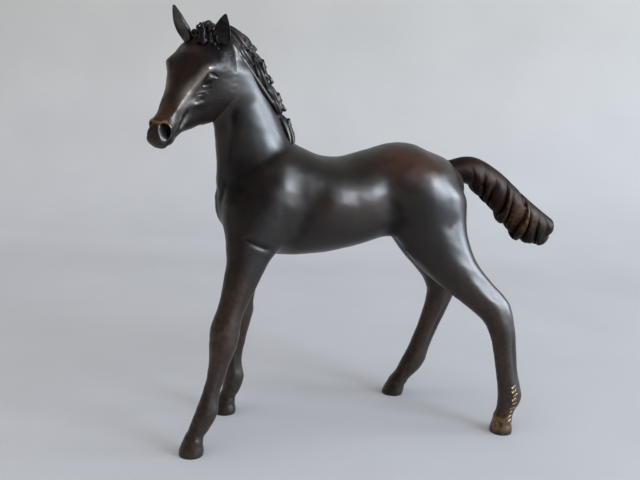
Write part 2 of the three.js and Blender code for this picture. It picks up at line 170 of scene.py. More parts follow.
@dataclass(frozen=True)
class Rail:
    """A row of cross-sections, [x, y, z, lead, trail, side] each: the centre, the half depth towards the
    front of a leg or the top of the trunk, the other half depth, and the half width. twist turns the last
    one about Z."""

    stations: tuple[Row, ...]
    twist: float = 0.0

    @property
    def spans(self) -> int:
        """The number of stretches between the stations."""
        return len(self.stations) - 1

    def section(self, t: Array) -> Section:
        """The sections at places t, whose front is side x along, and whose side is ACROSS made square to
        along.

        Args:
            t: places along the rail, from 0 to 1.

        Returns:
            The sections there.
        """
        rows = np.array(self.stations, float)
        step = 1e-4
        along = unit(through(rows[:, :3], t + step) - through(rows[:, :3], t - step))
        turn = np.radians(self.twist) * np.asarray(t)
        side = np.stack([-np.sin(turn), np.cos(turn), np.zeros_like(turn)], -1)
        side = unit(side - along * (side * along).sum(-1, keepdims=True))
        lead, trail, half = np.moveaxis(through(rows[:, 3:], t), -1, 0)
        centre = through(rows[:, :3], t)
        return Section(centre, along, side, np.cross(side, along), lead, trail, half)

    def outside(
        self, points: Array, samples: int = 31, plumpness: float = 0.8, squareness: float = 1.0
    ) -> Array:
        """Roughly how far points lie outside the rail's body: the least of the distances to many rounded
        bodies strung along it. With k = (sum of |p / r|^n)^(1 / n) and n = 2 / squareness, the distance is
        near (k - 1) / |slope of k|.

        Args:
            points: one point in each row.
            samples: the number of rounded bodies.
            plumpness: a body's reach along the rail, as a share of its smaller half size.
            squareness: below 1 the bodies' corners fill out.

        Returns:
            The distance of each point, negative inside.
        """
        cut = self.section(np.linspace(0, 1, samples))
        power = 2 / squareness
        least = np.full(len(points), np.inf)
        for k in range(samples):
            q = np.abs((points - cut.centre[k]) @ np.stack([cut.side[k], cut.along[k]], 1))
            ahead = (points - cut.centre[k]) @ cut.front[k]
            radii = np.stack(
                [
                    np.where(ahead > 0, cut.lead[k], cut.trail[k]),
                    np.full(len(q), cut.half[k]),
                    np.full(len(q), plumpness * min(cut.trail[k], cut.half[k])),
                ],
                1,
            )
            share = np.column_stack([np.abs(ahead), q]) / radii
            size = np.maximum((share**power).sum(1) ** (1 / power), TINY)
            slope = size ** (1 - power) * np.linalg.norm(share ** (power - 1) / radii, axis=1)
            least = np.minimum(least, (size - 1) / np.maximum(slope, TINY))
        return least

    def angles(self, points: Array, samples: int = 240) -> Array:
        """The angles of points round the rail: the angle whose tangent is (offset . side) / (offset . front),
        where the offset is the one from the nearest centre.

        Args:
            points: one point in each row.
            samples: the number of centres tried.

        Returns:
            The angle of each point from the front, in radians.
        """
        cut = self.section(np.linspace(0, 1, samples))
        nearest = np.zeros(len(points), int)
        least = np.full(len(points), np.inf)
        for k in range(samples):
            away = np.linalg.norm(points - cut.centre[k], axis=1)
            nearest = np.where(away < least, k, nearest)
            least = np.minimum(least, away)
        offset = points - cut.centre[nearest]
        aside = (offset * cut.side[nearest]).sum(1)
        ahead = (offset * cut.front[nearest]).sum(1)
        return np.arctan2(aside, ahead)


def fillet(distance: Array, width: Array | float) -> Array:
    """The height that fills the crease where two bodies meet: a quarter of the width times (1 - d / width)^2.

    Args:
        distance: how far each point lies from the other body.
        width: the distance at which the fillet ends.

    Returns:
        The height at each point.
    """
    return width / 4 * np.maximum(0, 1 - np.abs(distance) / width) ** 2


# Reliefs: heights that a point of the surface is raised by

FOLD_REACH = 2.5  # widths from its line at which a fold has sunk to nothing


@dataclass(frozen=True)
class Mound:
    """A soft rise, or a hollow where the height is negative: height * exp(-(|q|^2)^steepness), where q is
    the offset from the middle, turned by lean degrees about ACROSS and divided by the reach."""

    at: Row
    reach: Row
    height: float
    lean: float = 0.0
    side: Side = Side.BOTH
    steepness: float = 1.0

    def on(self, points: Array) -> Array:
        """The height at points, the same on both sides where the side is BOTH.

        Args:
            points: one point in each row.

        Returns:
            A height for each point.
        """
        q = points.copy()
        if self.side is Side.BOTH:
            q[:, 1] = np.abs(q[:, 1])
        q -= np.array(self.at)
        angle = math.radians(-self.lean)
        x = q[:, 0] * math.cos(angle) + q[:, 2] * math.sin(angle)
        z = q[:, 2] * math.cos(angle) - q[:, 0] * math.sin(angle)
        p, r, s = self.reach
        return self.height * np.exp(-(((x / p) ** 2 + (q[:, 1] / r) ** 2 + (z / s) ** 2) ** self.steepness))


@dataclass(frozen=True)
class Fold:
    """A ridge along a curve, or a furrow where the height is negative. The formula is
    height * fade * exp(-(d / width)^power), where d is the distance to the curve and fade sinks to 0 over a
    share of the length at each end."""

    line: tuple[Row, ...]
    width: float
    height: float
    side: Side = Side.BOTH
    fade: float = 0.3
    power: float = 2.0
    steps: int = 8

    def on(self, points: Array) -> Array:
        """The height at points, from the nearest of the curve's short straight stretches.

        Args:
            points: one point in each row.

        Returns:
            A height for each point.
        """
        q = points.copy()
        if self.side is Side.BOTH:
            q[:, 1] = np.abs(q[:, 1])
        count = self.steps * (len(self.line) - 1)
        curve = through(self.line, np.linspace(0, 1, count + 1))
        margin = FOLD_REACH * self.width
        near = ((q > curve.min(0) - margin) & (q < curve.max(0) + margin)).all(1)
        q = q[near]
        least = np.full(len(q), np.inf)
        place = np.zeros(len(q))
        for k in range(count):
            step = curve[k + 1] - curve[k]
            share = np.clip((q - curve[k]) @ step / (step @ step), 0, 1)
            away = np.linalg.norm(q - curve[k] - share[:, None] * step, axis=1)
            place = np.where(away < least, (k + share) / count, place)
            least = np.minimum(least, away)
        ends = np.minimum(place, 1 - place)
        heights = np.zeros(len(points))
        faded = self.height * rise(ends, -TINY, self.fade)
        heights[near] = faded * np.exp(-((least / self.width) ** self.power))
        return heights


@dataclass(frozen=True)
class Ripple:
    """The modeller's hand in the surface: the mean of many cosines that run in random directions, with
    wavelengths near the one given, scaled to the height."""

    wavelength: float
    height: float
    seed: int
    waves: int = 14

    def on(self, points: Array) -> Array:
        """The height at points: height * (sum of cosines) / sqrt(waves / 2).

        Args:
            points: one point in each row.

        Returns:
            A height for each point.
        """
        random = np.random.default_rng(self.seed)
        direction = unit(random.normal(size=(self.waves, 3)))
        length = self.wavelength * random.uniform(0.7, 1.5, self.waves)
        phase = random.uniform(0, 2 * math.pi, self.waves)
        swell = np.cos(points @ (direction / length[:, None] * 2 * math.pi).T + phase)
        return self.height * swell.sum(1) / math.sqrt(self.waves / 2)


Relief = Mound | Fold | Ripple


@dataclass(frozen=True)
class Knob:
    """A soft rise on a leg, or a hollow where the height is negative: the height times a bell curve of the
    angle round the leg times a bell curve of the level above the ground."""

    height: float
    angle: float  # degrees from the leg's front, the same on both sides
    spread: float  # degrees from there to where it has sunk to 37 percent
    level: float
    reach: float

    def on(self, turn: Array, level: Array) -> Array:
        """The height at angles round the leg, in degrees, and levels above the ground."""
        return self.height * bell(turn, self.angle, self.spread) * bell(level, self.level, self.reach)


def height_of(reliefs: tuple[Relief, ...], points: Array) -> Array:
    """The sum of the reliefs' heights at each of the points."""
    return sum((relief.on(points) for relief in reliefs), np.zeros(len(points)))


# Closed surfaces

DOME_RINGS = np.linspace(84, 12, 7)  # degrees up an end dome at which its rings lie


@dataclass
class Shell:
    """A closed surface: its points, its four-cornered faces and its three-cornered faces."""

    points: Array
    quads: Array
    triangles: Array

    def normals(self) -> Array:
        """Each point's normal: the sum of its faces' normals, each as long as its face is large.

        Returns:
            A vector of length one for each point.
        """
        p = self.points
        total = np.zeros_like(p)
        for faces, (a, b), (c, d) in ((self.quads, (0, 2), (1, 3)), (self.triangles, (0, 1), (0, 2))):
            if len(faces):
                face = np.cross(p[faces[:, b]] - p[faces[:, a]], p[faces[:, d]] - p[faces[:, c]])
                for corner in faces.T:
                    for axis in range(3):
                        total[:, axis] += np.bincount(corner, face[:, axis], len(p))
        return unit(total)

    def means(self) -> Array:
        """The mean of each point's neighbours along the faces' edges.

        Returns:
            A mean for each point.
        """
        kinds = [faces for faces in (self.quads, self.triangles) if len(faces)]
        ends = [np.stack([faces, np.roll(faces, -1, 1)], -1).reshape(-1, 2) for faces in kinds]
        edge = np.vstack(ends)
        start, end = np.concatenate([edge, edge[:, ::-1]]).T
        count = np.bincount(start, minlength=len(self.points))[:, None]
        total = [np.bincount(start, self.points[end, axis], len(self.points)) for axis in range(3)]
        return np.stack(total, 1) / np.maximum(count, 1)

    def eased(self, passes: int, share: Array | float = 1.0, back: float = 0.52) -> "Shell":
        """The surface with its creases eased: in each pass a point moves half way to the mean of its
        neighbours and then slightly more than that back, which rounds creases and keeps the volume.

        Args:
            passes: the number of passes.
            share: how much of each move a point makes.
            back: how far it moves back; 0 also wears down broad bumps.

        Returns:
            The eased surface.
        """
        shell = Shell(self.points.copy(), self.quads, self.triangles)
        part = np.broadcast_to(share, len(self.points))[:, None]
        steps = (0.5, -back) if back else (0.5,)
        for step in steps * passes:
            shell.points += step * part * (shell.means() - shell.points)
        return shell

    def raised(self, height: Array) -> "Shell":
        """The surface with each point moved along its normal by its height."""
        return Shell(self.points + self.normals() * height[:, None], self.quads, self.triangles)

    def hollowness(self, passes: int, depth: float) -> Array:
        """How far each point lies in a hollow: its distance below the surface eased flat, as a share of a
        depth.

        Args:
            passes: the number of times that each point is moved to the mean of its neighbours.
            depth: the distance that counts as 1.

        Returns:
            A share for each point, negative on ridges.
        """
        flat = Shell(self.points.copy(), self.quads, self.triangles)
        for _ in range(passes):
            flat.points = flat.means()
        return np.clip(((flat.points - self.points) * self.normals()).sum(1) / depth, -1, 1)


def loft(
    rail: Rail,
    sides: int,
    steps: float,
    dome: float = 0.6,
    squareness: float = 1.0,
    relief: Callable[[Array, Array, Array], Array] | None = None,
) -> Shell:
    """A closed body carried along a rail, as a grid of places t by angles a. Its ends are domes, whose
    rings slide out along the rail by dome * sin(c) times the smaller half size and shrink by cos(c).

    Args:
        rail: the row of sections.
        sides: the number of points in a ring.
        steps: the number of rings in each span.
        dome: the height of the end domes, as a share of the smaller half size.
        squareness: below 1 the sections' corners fill out.
        relief: the height to raise points by, given the points, t and a.

    Returns:
        The closed surface.
    """
    cap = np.radians(DOME_RINGS)
    body = np.linspace(0, 1, round(rail.spans * steps) + 1)
    t = np.concatenate([np.zeros(len(cap)), body, np.ones(len(cap))])[:, None]
    slide = np.concatenate([-np.sin(cap), np.zeros(len(body)), np.sin(cap[::-1])])[:, None]
    scale = np.concatenate([np.cos(cap), np.ones(len(body)), np.cos(cap[::-1])])[:, None]
    angle = np.linspace(0, 2 * math.pi, sides, endpoint=False)[None, :]
    t = np.broadcast_to(t, (len(t), sides))
    cut = rail.section(t)
    flat = cut.centre
    moved = flat + cut.along * (slide * dome * np.minimum(cut.trail, cut.half))[..., None]
    cut = Section(moved, cut.along, cut.side, cut.front, cut.lead, cut.trail, cut.half)
    angle = np.broadcast_to(angle, t.shape)
    points = cut.at(angle, scale, squareness)
    if relief:
        height = relief(points.reshape(-1, 3), t.ravel(), angle.ravel()).reshape(t.shape)
        points = points + unit(points - flat) * height[..., None]
    return closed(points)


def closed(grid: Array) -> Shell:
    """The closed surface over a stack of rings, each end filled by a fan about the ring's mean.

    Args:
        grid: the rings' points, rings by sides by 3.

    Returns:
        The closed surface.
    """
    rows, sides = grid.shape[:2]
    index = np.arange(rows * sides).reshape(rows, sides)
    beside = np.roll(index, -1, 1)
    quads = np.stack([index[:-1], beside[:-1], beside[1:], index[1:]], -1).reshape(-1, 4)
    apex = rows * sides
    start = np.stack([np.full(sides, apex), beside[0], index[0]], -1)
    end = np.stack([np.full(sides, apex + 1), index[-1], beside[-1]], -1)
    points = np.vstack([grid.reshape(-1, 3), grid[0].mean(0), grid[-1].mean(0)])
    return Shell(points, quads, np.vstack([start, end]))


def together(shells: list[Shell]) -> Shell:
    """Several surfaces as one, each still closed by itself.

    Args:
        shells: the surfaces.

    Returns:
        One surface with all their points and faces.
    """
    first = np.cumsum([0] + [len(s.points) for s in shells[:-1]])
    return Shell(
        np.vstack([s.points for s in shells]),
        np.vstack([s.quads.reshape(-1, 4) + n for s, n in zip(shells, first)]),
        np.vstack([s.triangles.reshape(-1, 3) + n for s, n in zip(shells, first)]),
    )


def mesh_of(shell: Shell, name: str) -> bpy.types.Mesh:
    """A mesh with the surface's points and faces, smooth shaded.

    Args:
        shell: the surface.
        name: the mesh's name.

    Returns:
        The mesh.
    """
    mesh = bpy.data.meshes.new(name)
    corners = np.concatenate([shell.quads.ravel(), shell.triangles.ravel()]).astype(np.int32)
    sizes = np.concatenate([np.full(len(shell.quads), 4), np.full(len(shell.triangles), 3)]).astype(np.int32)
    starts = np.concatenate([[0], np.cumsum(sizes)[:-1]]).astype(np.int32)
    mesh.vertices.add(len(shell.points))
    mesh.vertices.foreach_set("co", shell.points.astype(np.float32).ravel())
    mesh.loops.add(len(corners))
    mesh.loops.foreach_set("vertex_index", corners)
    mesh.polygons.add(len(sizes))
    mesh.polygons.foreach_set("loop_start", starts)
    mesh.polygons.foreach_set("use_smooth", np.ones(len(sizes), bool))
    mesh.update(calc_edges=True)
    return mesh


def shell_of(mesh: bpy.types.Mesh) -> Shell:
    """The surface that a mesh of quads and triangles holds.

    Args:
        mesh: the mesh.

    Returns:
        The surface.
    """
    points = np.empty(len(mesh.vertices) * 3, np.float32)
    mesh.vertices.foreach_get("co", points)
    corners = np.empty(len(mesh.loops), np.int32)
    mesh.loops.foreach_get("vertex_index", corners)
    starts = np.empty(len(mesh.polygons), np.int32)
    mesh.polygons.foreach_get("loop_start", starts)
    sizes = np.diff(np.append(starts, len(corners)))
    quads, triangles = (corners[starts[sizes == n][:, None] + np.arange(n)] for n in (4, 3))
    return Shell(points.reshape(-1, 3).astype(float), quads, triangles)


def finished_by(shell: Shell, kind: str, **settings: object) -> Shell:
    """The surface after one of Blender's modifiers.

    Args:
        shell: the surface, in millimetres.
        kind: the modifier's type.
        **settings: the modifier's settings.

    Returns:
        The new surface.
    """
    mesh = mesh_of(shell, "blank")
    blank = bpy.data.objects.new("blank", mesh)
    bpy.context.scene.collection.objects.link(blank)
    modifier = blank.modifiers.new(kind.lower(), kind)
    for name, value in settings.items():
        setattr(modifier, name, value)
    made = bpy.data.meshes.new_from_object(blank.evaluated_get(bpy.context.evaluated_depsgraph_get()))
    result = shell_of(made)
    bpy.data.objects.remove(blank)
    bpy.data.meshes.remove(mesh)
    bpy.data.meshes.remove(made)
    return result


def fused(shells: list[Shell], grain: float) -> Shell:
    """The outer skin of several overlapping surfaces, as quads about as wide as the grain."""
    return finished_by(together(shells), "REMESH", mode="VOXEL", voxel_size=grain, adaptivity=0.0)


def refined(shell: Shell) -> Shell:
    """The surface with each face divided in four and rounded, by one Catmull-Clark step."""
    return finished_by(shell, "SUBSURF", levels=1, render_levels=1)


# The foal's rails

TRUNK = Rail(
    (
        (61.5, 0, 131, 11, 13, 11),
        (55, 0, 131, 16.5, 19, 18.5),
        (44, 0, 130, 21.8, 24, 24.5),
        (32, 0, 129.5, 25, 25, 25.5),
        (18, 0, 127, 24, 23, 24.2),
        (2, 0, 123.5, 23.3, 24, 25),
        (-12, 0, 122.5, 24.5, 26, 26),
        (-27, 0, 123, 27.5, 27.5, 24.5),
        (-40, 0, 123, 25, 26, 22),
        (-50, 0, 122, 20.5, 20.5, 19),
        (-56, 0, 121, 16, 16, 15.5),
    )
)
NECK = Rail(
    (
        (-35, 0, 121, 20, 22, 18),
        (-41, 0, 137, 19, 24.5, 16),
        (-46, -0.5, 151, 16.6, 22.2, 13.2),
        (-51, -1.5, 165, 15, 18.8, 11.4),
        (-56, -3, 178, 13.2, 15.5, 10),
        (-61.5, -4.5, 189, 12.6, 12.5, 9.5),
        (-66, -6, 197, 10.5, 9.5, 9),
    ),
    twist=26,
)
FORE_LEFT = Rail(
    (
        (-36, -9, 136, 9, 10, 9),
        (-42, -12, 126, 13, 15, 11.5),
        (-48.5, -14.5, 114, 14.5, 15.5, 11.6),
        (-53, -16.5, 103, 11.6, 13.5, 9.8),
        (-55.3, -18, 95, 8.8, 11.2, 8.4),
        (-58.6, -19.5, 84, 7.4, 9, 7.1),
        (-62, -20.5, 73, 6.3, 7.2, 6.3),
        (-65, -21.3, 62.5, 7.1, 7.2, 6.8),
        (-66, -21.8, 55, 6.8, 7.2, 6.6),
        (-67.6, -22.3, 47, 5.2, 5.4, 5),
        (-69.4, -22.8, 39, 4.3, 4.5, 4.2),
        (-71.9, -23.1, 30.5, 4.1, 4.4, 4),
        (-74, -23.4, 22.5, 4.7, 6, 5),
        (-76.3, -23.6, 16, 4.9, 5.6, 5),
        (-78.9, -23.8, 10.5, 4.3, 4.2, 4.6),
        (-80.3, -24, 6, 5.4, 5.4, 5.7),
        (-81.2, -24, 0, 6.6, 6.6, 6.8),
        (-81.6, -24, -5, 7, 7, 7),
    )
)
FORE_RIGHT = Rail(
    (
        (-34, 9, 136, 9, 10, 9),
        (-40, 12, 126, 14, 15, 11.5),
        (-44.5, 14.5, 114, 16, 15.5, 11.6),
        (-46, 16, 104, 12.4, 13.5, 9.8),
        (-46, 17, 95, 9.8, 11.2, 8.4),
        (-46.6, 18.8, 84, 8.3, 9, 7.1),
        (-47.6, 20, 73, 7.1, 7, 6.3),
        (-48.9, 21, 62.5, 7.4, 6.8, 6.8),
        (-49.2, 21.6, 55, 6.8, 6.6, 6.6),
        (-49.8, 22.2, 47, 5.2, 5.2, 5),
        (-50.6, 22.8, 39, 4.3, 4.4, 4.2),
        (-51.4, 23.1, 30.5, 4.1, 4.3, 4),
        (-51.6, 23.4, 21.5, 4.7, 6, 5),
        (-52.4, 23.6, 15.5, 4.9, 5.6, 5),
        (-54.4, 23.8, 10, 4.3, 4.2, 4.6),
        (-55.4, 24, 6, 5.4, 5.4, 5.7),
        (-56, 24, 0, 6.6, 6.6, 6.8),
        (-56.4, 24, -5, 7, 7, 7),
    )
)
HIND_LEFT = Rail(
    (
        (42, -8, 134, 10, 14, 9),
        (42.5, -12.5, 125, 17, 20, 13),
        (44.5, -15.5, 113, 19, 20, 12.4),
        (50, -19, 100, 15.5, 16.3, 10.6),
        (59, -22.5, 87.5, 11, 12, 9),
        (69.5, -26, 77, 9, 9.8, 7.4),
        (79, -28.6, 67.5, 8, 9, 6.7),
        (83.8, -30, 57.5, 7.4, 7, 6.1),
        (86, -30.8, 46, 6.4, 6.4, 5.3),
        (88, -31.2, 34, 6, 6, 5.1),
        (89.7, -31.5, 25, 6, 6.6, 5.5),
        (90.2, -31.7, 18.5, 6, 6.8, 5.7),
        (88.8, -31.9, 12, 5.2, 4.2, 5),
        (87.3, -32, 6, 5.6, 5.1, 5.7),
        (87, -32, 0, 6.5, 6.3, 6.7),
        (87, -32, -5, 7, 7, 7),
    )
)
HIND_RIGHT = Rail(
    (
        (42, 8, 134, 10, 14, 9),
        (44, 12.5, 125, 17, 18.5, 13),
        (49, 15.5, 113, 18, 16, 12.4),
        (56, 18.5, 100, 15.5, 13.5, 10.6),
        (64, 21.5, 88, 12.6, 11, 9),
        (70.2, 24.5, 77, 10, 9.2, 7.4),
        (73.8, 27, 66.5, 8.8, 8.8, 6.7),
        (72.5, 28.3, 57, 7.6, 7.2, 6.1),
        (69, 29.2, 46, 6.4, 6.5, 5.3),
        (65, 29.8, 34.5, 6, 6.2, 5.1),
        (61.6, 30.4, 25, 6, 6.8, 5.5),
        (58.4, 30.8, 18.5, 6, 7, 5.7),
        (53.8, 31.3, 12, 4.5, 5, 5),
        (50.2, 31.8, 6, 5.1, 5.8, 5.7),
        (48.4, 32, 0, 6.5, 6.7, 6.7),
        (47.6, 32, -5, 7, 7, 7),
    )
)
FORELEGS = (FORE_LEFT, FORE_RIGHT)
HINDLEGS = (HIND_LEFT, HIND_RIGHT)
# The tail's lead is its underside and its trail the ridge, as it runs towards the back.
TAIL = Rail(
    (
        (54, 0, 136, 6, 6, 6),
        (63, 0, 139.3, 6, 6.4, 6.2),
        (73, 0, 138.8, 6.8, 8.4, 7),
        (84.5, 0, 132.2, 8, 9.2, 7.4),
        (94, 0, 124.8, 9, 9.3, 7.6),
        (103, 0, 117.3, 10.6, 9.4, 7.6),
        (112, 0, 110.6, 11.6, 9.6, 7.2),
        (122, 0, 105.3, 9, 8.4, 6),
    )
)
# The head lies level in its own frame, muzzle towards -X and forehead towards +Z, with the poll at the
# origin.
HEAD = Rail(
    (
        (0, 0, -5, 9, 9, 12),
        (-6, 0, -6, 12.6, 15, 13.8),
        (-12, 0, -7, 14, 19, 14.2),
        (-18, 0, -7.5, 13, 20.5, 13.8),
        (-24, 0, -7.5, 11, 20, 11),
        (-30, 0, -7.5, 8.6, 17.5, 7.8),
        (-36, 0, -8, 7, 13.5, 6.1),
        (-42, 0, -8.3, 6.2, 9, 5.5),
        (-47.5, 0, -8.6, 6.2, 6.6, 5.9),
        (-51.5, 0, -9.2, 6, 6, 5.9),
        (-54.5, 0, -9.8, 4.3, 4.4, 4.8),
    )
)


def turned(axis: str, degrees: float) -> Array:
    """The 3 by 3 matrix of a turn about one of the axes X, Y and Z."""
    return np.array(Matrix.Rotation(math.radians(degrees), 3, axis))


@dataclass(frozen=True)
class Carriage:
    """How the head is carried: tilted, dipped and turned, in degrees, about the poll."""

    poll: Row = (-71.5, -6.2, 199.8)
    tilt: float = 8.0
    dip: float = 44.0
    turn: float = 38.0
    fillet_at_throat: float = 5.0  # width of the fillet between head and neck
    fillet_at_cheek: float = 14.0
    fillet_at_crest: float = 7.7
    cheek: Row = (164, 178)  # heights between which the fillet widens towards the cheek
    crest: Row = (186, 194)  # heights between which it narrows towards the crest

    @property
    def matrix(self) -> Array:
        """The turn from the head's own frame to the foal's."""
        return turned("Z", self.turn) @ turned("Y", -self.dip) @ turned("X", self.tilt)

    def fillet_width(self, points: Array) -> Array:
        """How far the fillet between head and neck reaches: a little at throat and crest, and most behind the
        cheek, by a smooth step from the one to the next.

        Args:
            points: points of the foal's frame.

        Returns:
            A width for each point.
        """
        widening = rise(points[:, 2], *self.cheek) * (self.fillet_at_cheek - self.fillet_at_throat)
        narrowing = rise(points[:, 2], *self.crest) * (self.fillet_at_cheek - self.fillet_at_crest)
        return self.fillet_at_throat + widening - narrowing

    def placed(self, points: Array) -> Array:
        """Points of the head's own frame, in the foal's frame."""
        return points @ self.matrix.T + np.array(self.poll)

    def carried(self, shell: Shell) -> Shell:
        """A surface of the head's own frame, in the foal's frame."""
        return Shell(self.placed(shell.points), shell.quads, shell.triangles)

    def local(self, points: Array) -> Array:
        """Points of the foal's frame, in the head's own frame."""
        return (points - np.array(self.poll)) @ self.matrix


# Finishes

PIT_GROUP = 34.0  # wavelength, in millimetres, at which groups of pits and smooth places alternate


class Graph:
    """A material and the short calls that build its nodes."""

    def __init__(self, name: str) -> None:
        """Starts a material with an output and nothing else.

        Args:
            name: the material's name.
        """
        self.material = bpy.data.materials.new(name)
        self.material.use_nodes = True
        self.tree = self.material.node_tree
        self.tree.nodes.clear()
        self.output = self.tree.nodes.new("ShaderNodeOutputMaterial")

    def node(
        self, kind: str, inputs: dict[str | int, object] | None = None, **settings: object
    ) -> bpy.types.Node:
        """Adds a node.

        Args:
            kind: the node's type, without its ShaderNode prefix.
            inputs: a value, or another node's output, for each named or numbered input.
            **settings: the node's own settings.

        Returns:
            The node.
        """
        node = self.tree.nodes.new("ShaderNode" + kind)
        for name, value in settings.items():
            setattr(node, name, value)
        for name, value in (inputs or {}).items():
            if isinstance(value, Socket):
                self.tree.links.new(value, node.inputs[name])
            else:
                node.inputs[name].default_value = value
        return node

    def noise(self, wavelength: float, detail: float = 3.0, stretch: Row = (1, 1, 1)) -> Socket:
        """Noise on the object's own coordinates.

        Args:
            wavelength: its wavelength, in millimetres.
            detail: the number of its finer layers.
            stretch: factors along X, Y and Z; one below 1 draws the noise out that way.

        Returns:
            The noise, which lies around 0.5.
        """
        place = self.node("TexCoord").outputs["Object"]
        scaled = self.node("Mapping", {"Vector": place, "Scale": stretch}).outputs[0]
        scale = 1 / (wavelength * METRES)
        return self.node("TexNoise", {"Vector": scaled, "Scale": scale, "Detail": detail}).outputs[0]

    def span(self, value: Socket, low: float, high: float, to: Row = (0, 1)) -> Socket:
        """The value carried from between low and high to between the two of to, held at the ends."""
        inputs = {"Value": value, "From Min": low, "From Max": high, "To Min": to[0], "To Max": to[1]}
        return self.node("MapRange", inputs).outputs[0]

    def pits(self, spacing: float, width: float) -> Socket:
        """Small round pits, strewn only where a slow noise is high.

        Args:
            spacing: how far they lie apart, in millimetres.
            width: how wide they are, in millimetres.

        Returns:
            1 in the middle of each pit and 0 outside.
        """
        place = self.node("TexCoord").outputs["Object"]
        inputs = {"Vector": place, "Scale": 1 / (spacing * METRES)}
        apart = self.node("TexVoronoi", inputs).outputs["Distance"]
        share = 0.5 * width / spacing
        group = self.span(self.noise(PIT_GROUP, 2), 0.5, 0.56)
        return self.math("MULTIPLY", self.span(apart, share, 0.4 * share), group)

    def math(self, operation: str, *values: object) -> Socket:
        """One sum, product or the like of sockets and numbers."""
        return self.node("Math", dict(enumerate(values)), operation=operation).outputs[0]

    def mix(self, share: object, a: object, b: object) -> Socket:
        """The colour a share of the way from a to b."""
        colours = {6: opaque(a), 7: opaque(b)}
        return self.node("Mix", {0: share, **colours}, data_type="RGBA").outputs[2]

    def attribute(self, name: str) -> Socket:
        """The value of a mesh's own attribute."""
        return self.node("Attribute", attribute_name=name).outputs["Fac"]

    def shade(self, inputs: dict[str, object]) -> Material:
        """Ends the material in a principled shader.

        Args:
            inputs: a value, or a node's output, for each of the shader's inputs that are set.

        Returns:
            The finished material.
        """
        shader = self.node("BsdfPrincipled", inputs)
        self.tree.links.new(shader.outputs[0], self.output.inputs["Surface"])
        return self.material


def opaque(colour: object) -> object:
    """A colour with its alpha, or the socket that was given."""
    return colour if isinstance(colour, Socket) else (*colour, 1.0)


@dataclass(frozen=True)
class Patina:
    """Waxed bronze: black-brown, redder on the crown of its broad forms, on the croup partly as a painted
    warm sheen, darkest in its hollows and rubbed golden where hands and handling wear it. Pale painted
    highlights lie where the light is meant to catch, and painted shade blackens some creases, hollows and
    holes. Its wavelengths and widths are in millimetres."""

    name: str = "waxed_patina"
    black: Colour = (0.0052, 0.0036, 0.0032)
    brown: Colour = (0.021, 0.0125, 0.0085)
    red: Colour = (0.095, 0.032, 0.014)
    gold: Colour = (0.42, 0.24, 0.11)
    # colour of the painted highlights
    pale: Colour = (0.5, 0.42, 0.36)
    rough: Row = (0.34, 0.42)
    gloss: float = 0.36
    coat: float = 0.15
    coat_rough: float = 0.32
    bump: float = 0.1
    bump_height: float = 0.3
    metal: Row = (0.25, 0.99)  # how metallic it is where it is whole, and where it is rubbed, painted bright, or darkest, painted shade included
    cloud: float = 26.0  # wavelength of the clouds of black and brown
    fleck: float = 1.6  # of their flecks
    blush: float = 7.0  # of the red places
    rub: float = 2.2  # of the golden places
    shine: float = 4.0  # of the painted highlights
    smear: float = 9.0  # of the smears in the wax
    scratch: float = 3.0
    grain: float = 0.7
    pit_spacing: float = 5.5
    pit_width: float = 0.8
    darkening: float = 0.85  # the share of black in a full hollow, full painted shade or pit
    dulling: float = 0.25  # the roughness that a full hollow adds

    def material(self) -> Material:
        """Makes the finish, which reads a piece's own attributes: warmth where it is red, worn where
        golden, a painted highlight where bright, and hollow where dark, for the hollows' patina and painted
        shade alike. Each is broken up by noise.

        Returns:
            The material.
        """
        g = Graph(self.name)
        clouds = g.span(g.noise(self.cloud, 4), 0.35, 0.68)
        flecks = g.span(g.noise(self.fleck, 5), 0.42, 0.66)
        warmth, worn, hollow, painted_highlight = (g.attribute(name) for name in ("warmth", "worn", "hollow", "painted_highlight"))
        tone = g.mix(g.math("MULTIPLY", clouds, 0.7), self.black, self.brown)
        tone = g.mix(g.math("MULTIPLY", flecks, 0.3), tone, self.brown)
        blush = g.math("MULTIPLY", warmth, g.span(g.noise(self.blush, 4), 0.3, 0.62, (0.45, 1)))
        tone = g.mix(blush, tone, self.red)
        rubbed = g.math("MULTIPLY", worn, g.span(g.noise(self.rub, 5), 0.38, 0.58, (0.15, 1)))
        tone = g.mix(rubbed, tone, self.gold)
        # painted highlights: pale, more metallic colour where the light is meant to catch
        bright = g.math("MULTIPLY", painted_highlight, g.span(g.noise(self.shine, 4), 0.3, 0.6, (0.6, 1)))
        tone = g.mix(bright, tone, self.pale)
        pits = g.pits(self.pit_spacing, self.pit_width)
        # black in the hollows' patina, in the pits and in the painted shade
        tone = g.mix(g.math("MULTIPLY", g.math("MAXIMUM", hollow, pits), self.darkening), tone, self.black)
        smear = g.span(g.noise(self.smear, 5, (1, 1, 0.5)), 0.3, 0.7, self.rough)
        rough = g.math("ADD", smear, g.math("MULTIPLY", hollow, self.dulling))
        bare = g.math("MAXIMUM", g.math("MAXIMUM", rubbed, bright), hollow)
        whole, stripped = self.metal
        metal = g.math("ADD", whole, g.math("MULTIPLY", bare, stripped - whole))
        grain = g.math("MULTIPLY", g.noise(self.grain, 4), 0.6)
        scratches = g.noise(self.scratch, 4, (1, 1, 0.18))
        relief = g.math("SUBTRACT", g.math("ADD", grain, scratches), pits)
        inputs = {"Strength": self.bump, "Distance": self.bump_height * METRES, "Height": relief}
        return g.shade(
            {
                "Base Color": tone,
                "Metallic": metal,
                "Roughness": rough,
                "Specular IOR Level": self.gloss,
                "Normal": g.node("Bump", inputs).outputs[0],
                "Coat Weight": self.coat,
                "Coat Roughness": self.coat_rough,
            }
        )


HAIR = Patina(
    name="carved_hair_patina",
    black=(0.003, 0.002, 0.0017),
    brown=(0.011, 0.006, 0.004),
    rough=(0.38, 0.48),
    coat=0.05,
    bump=0.2,
)
DULL_HAIR = replace(HAIR, name="dull_tail_patina", rough=(0.42, 0.52), gloss=0.08, coat=0.0)


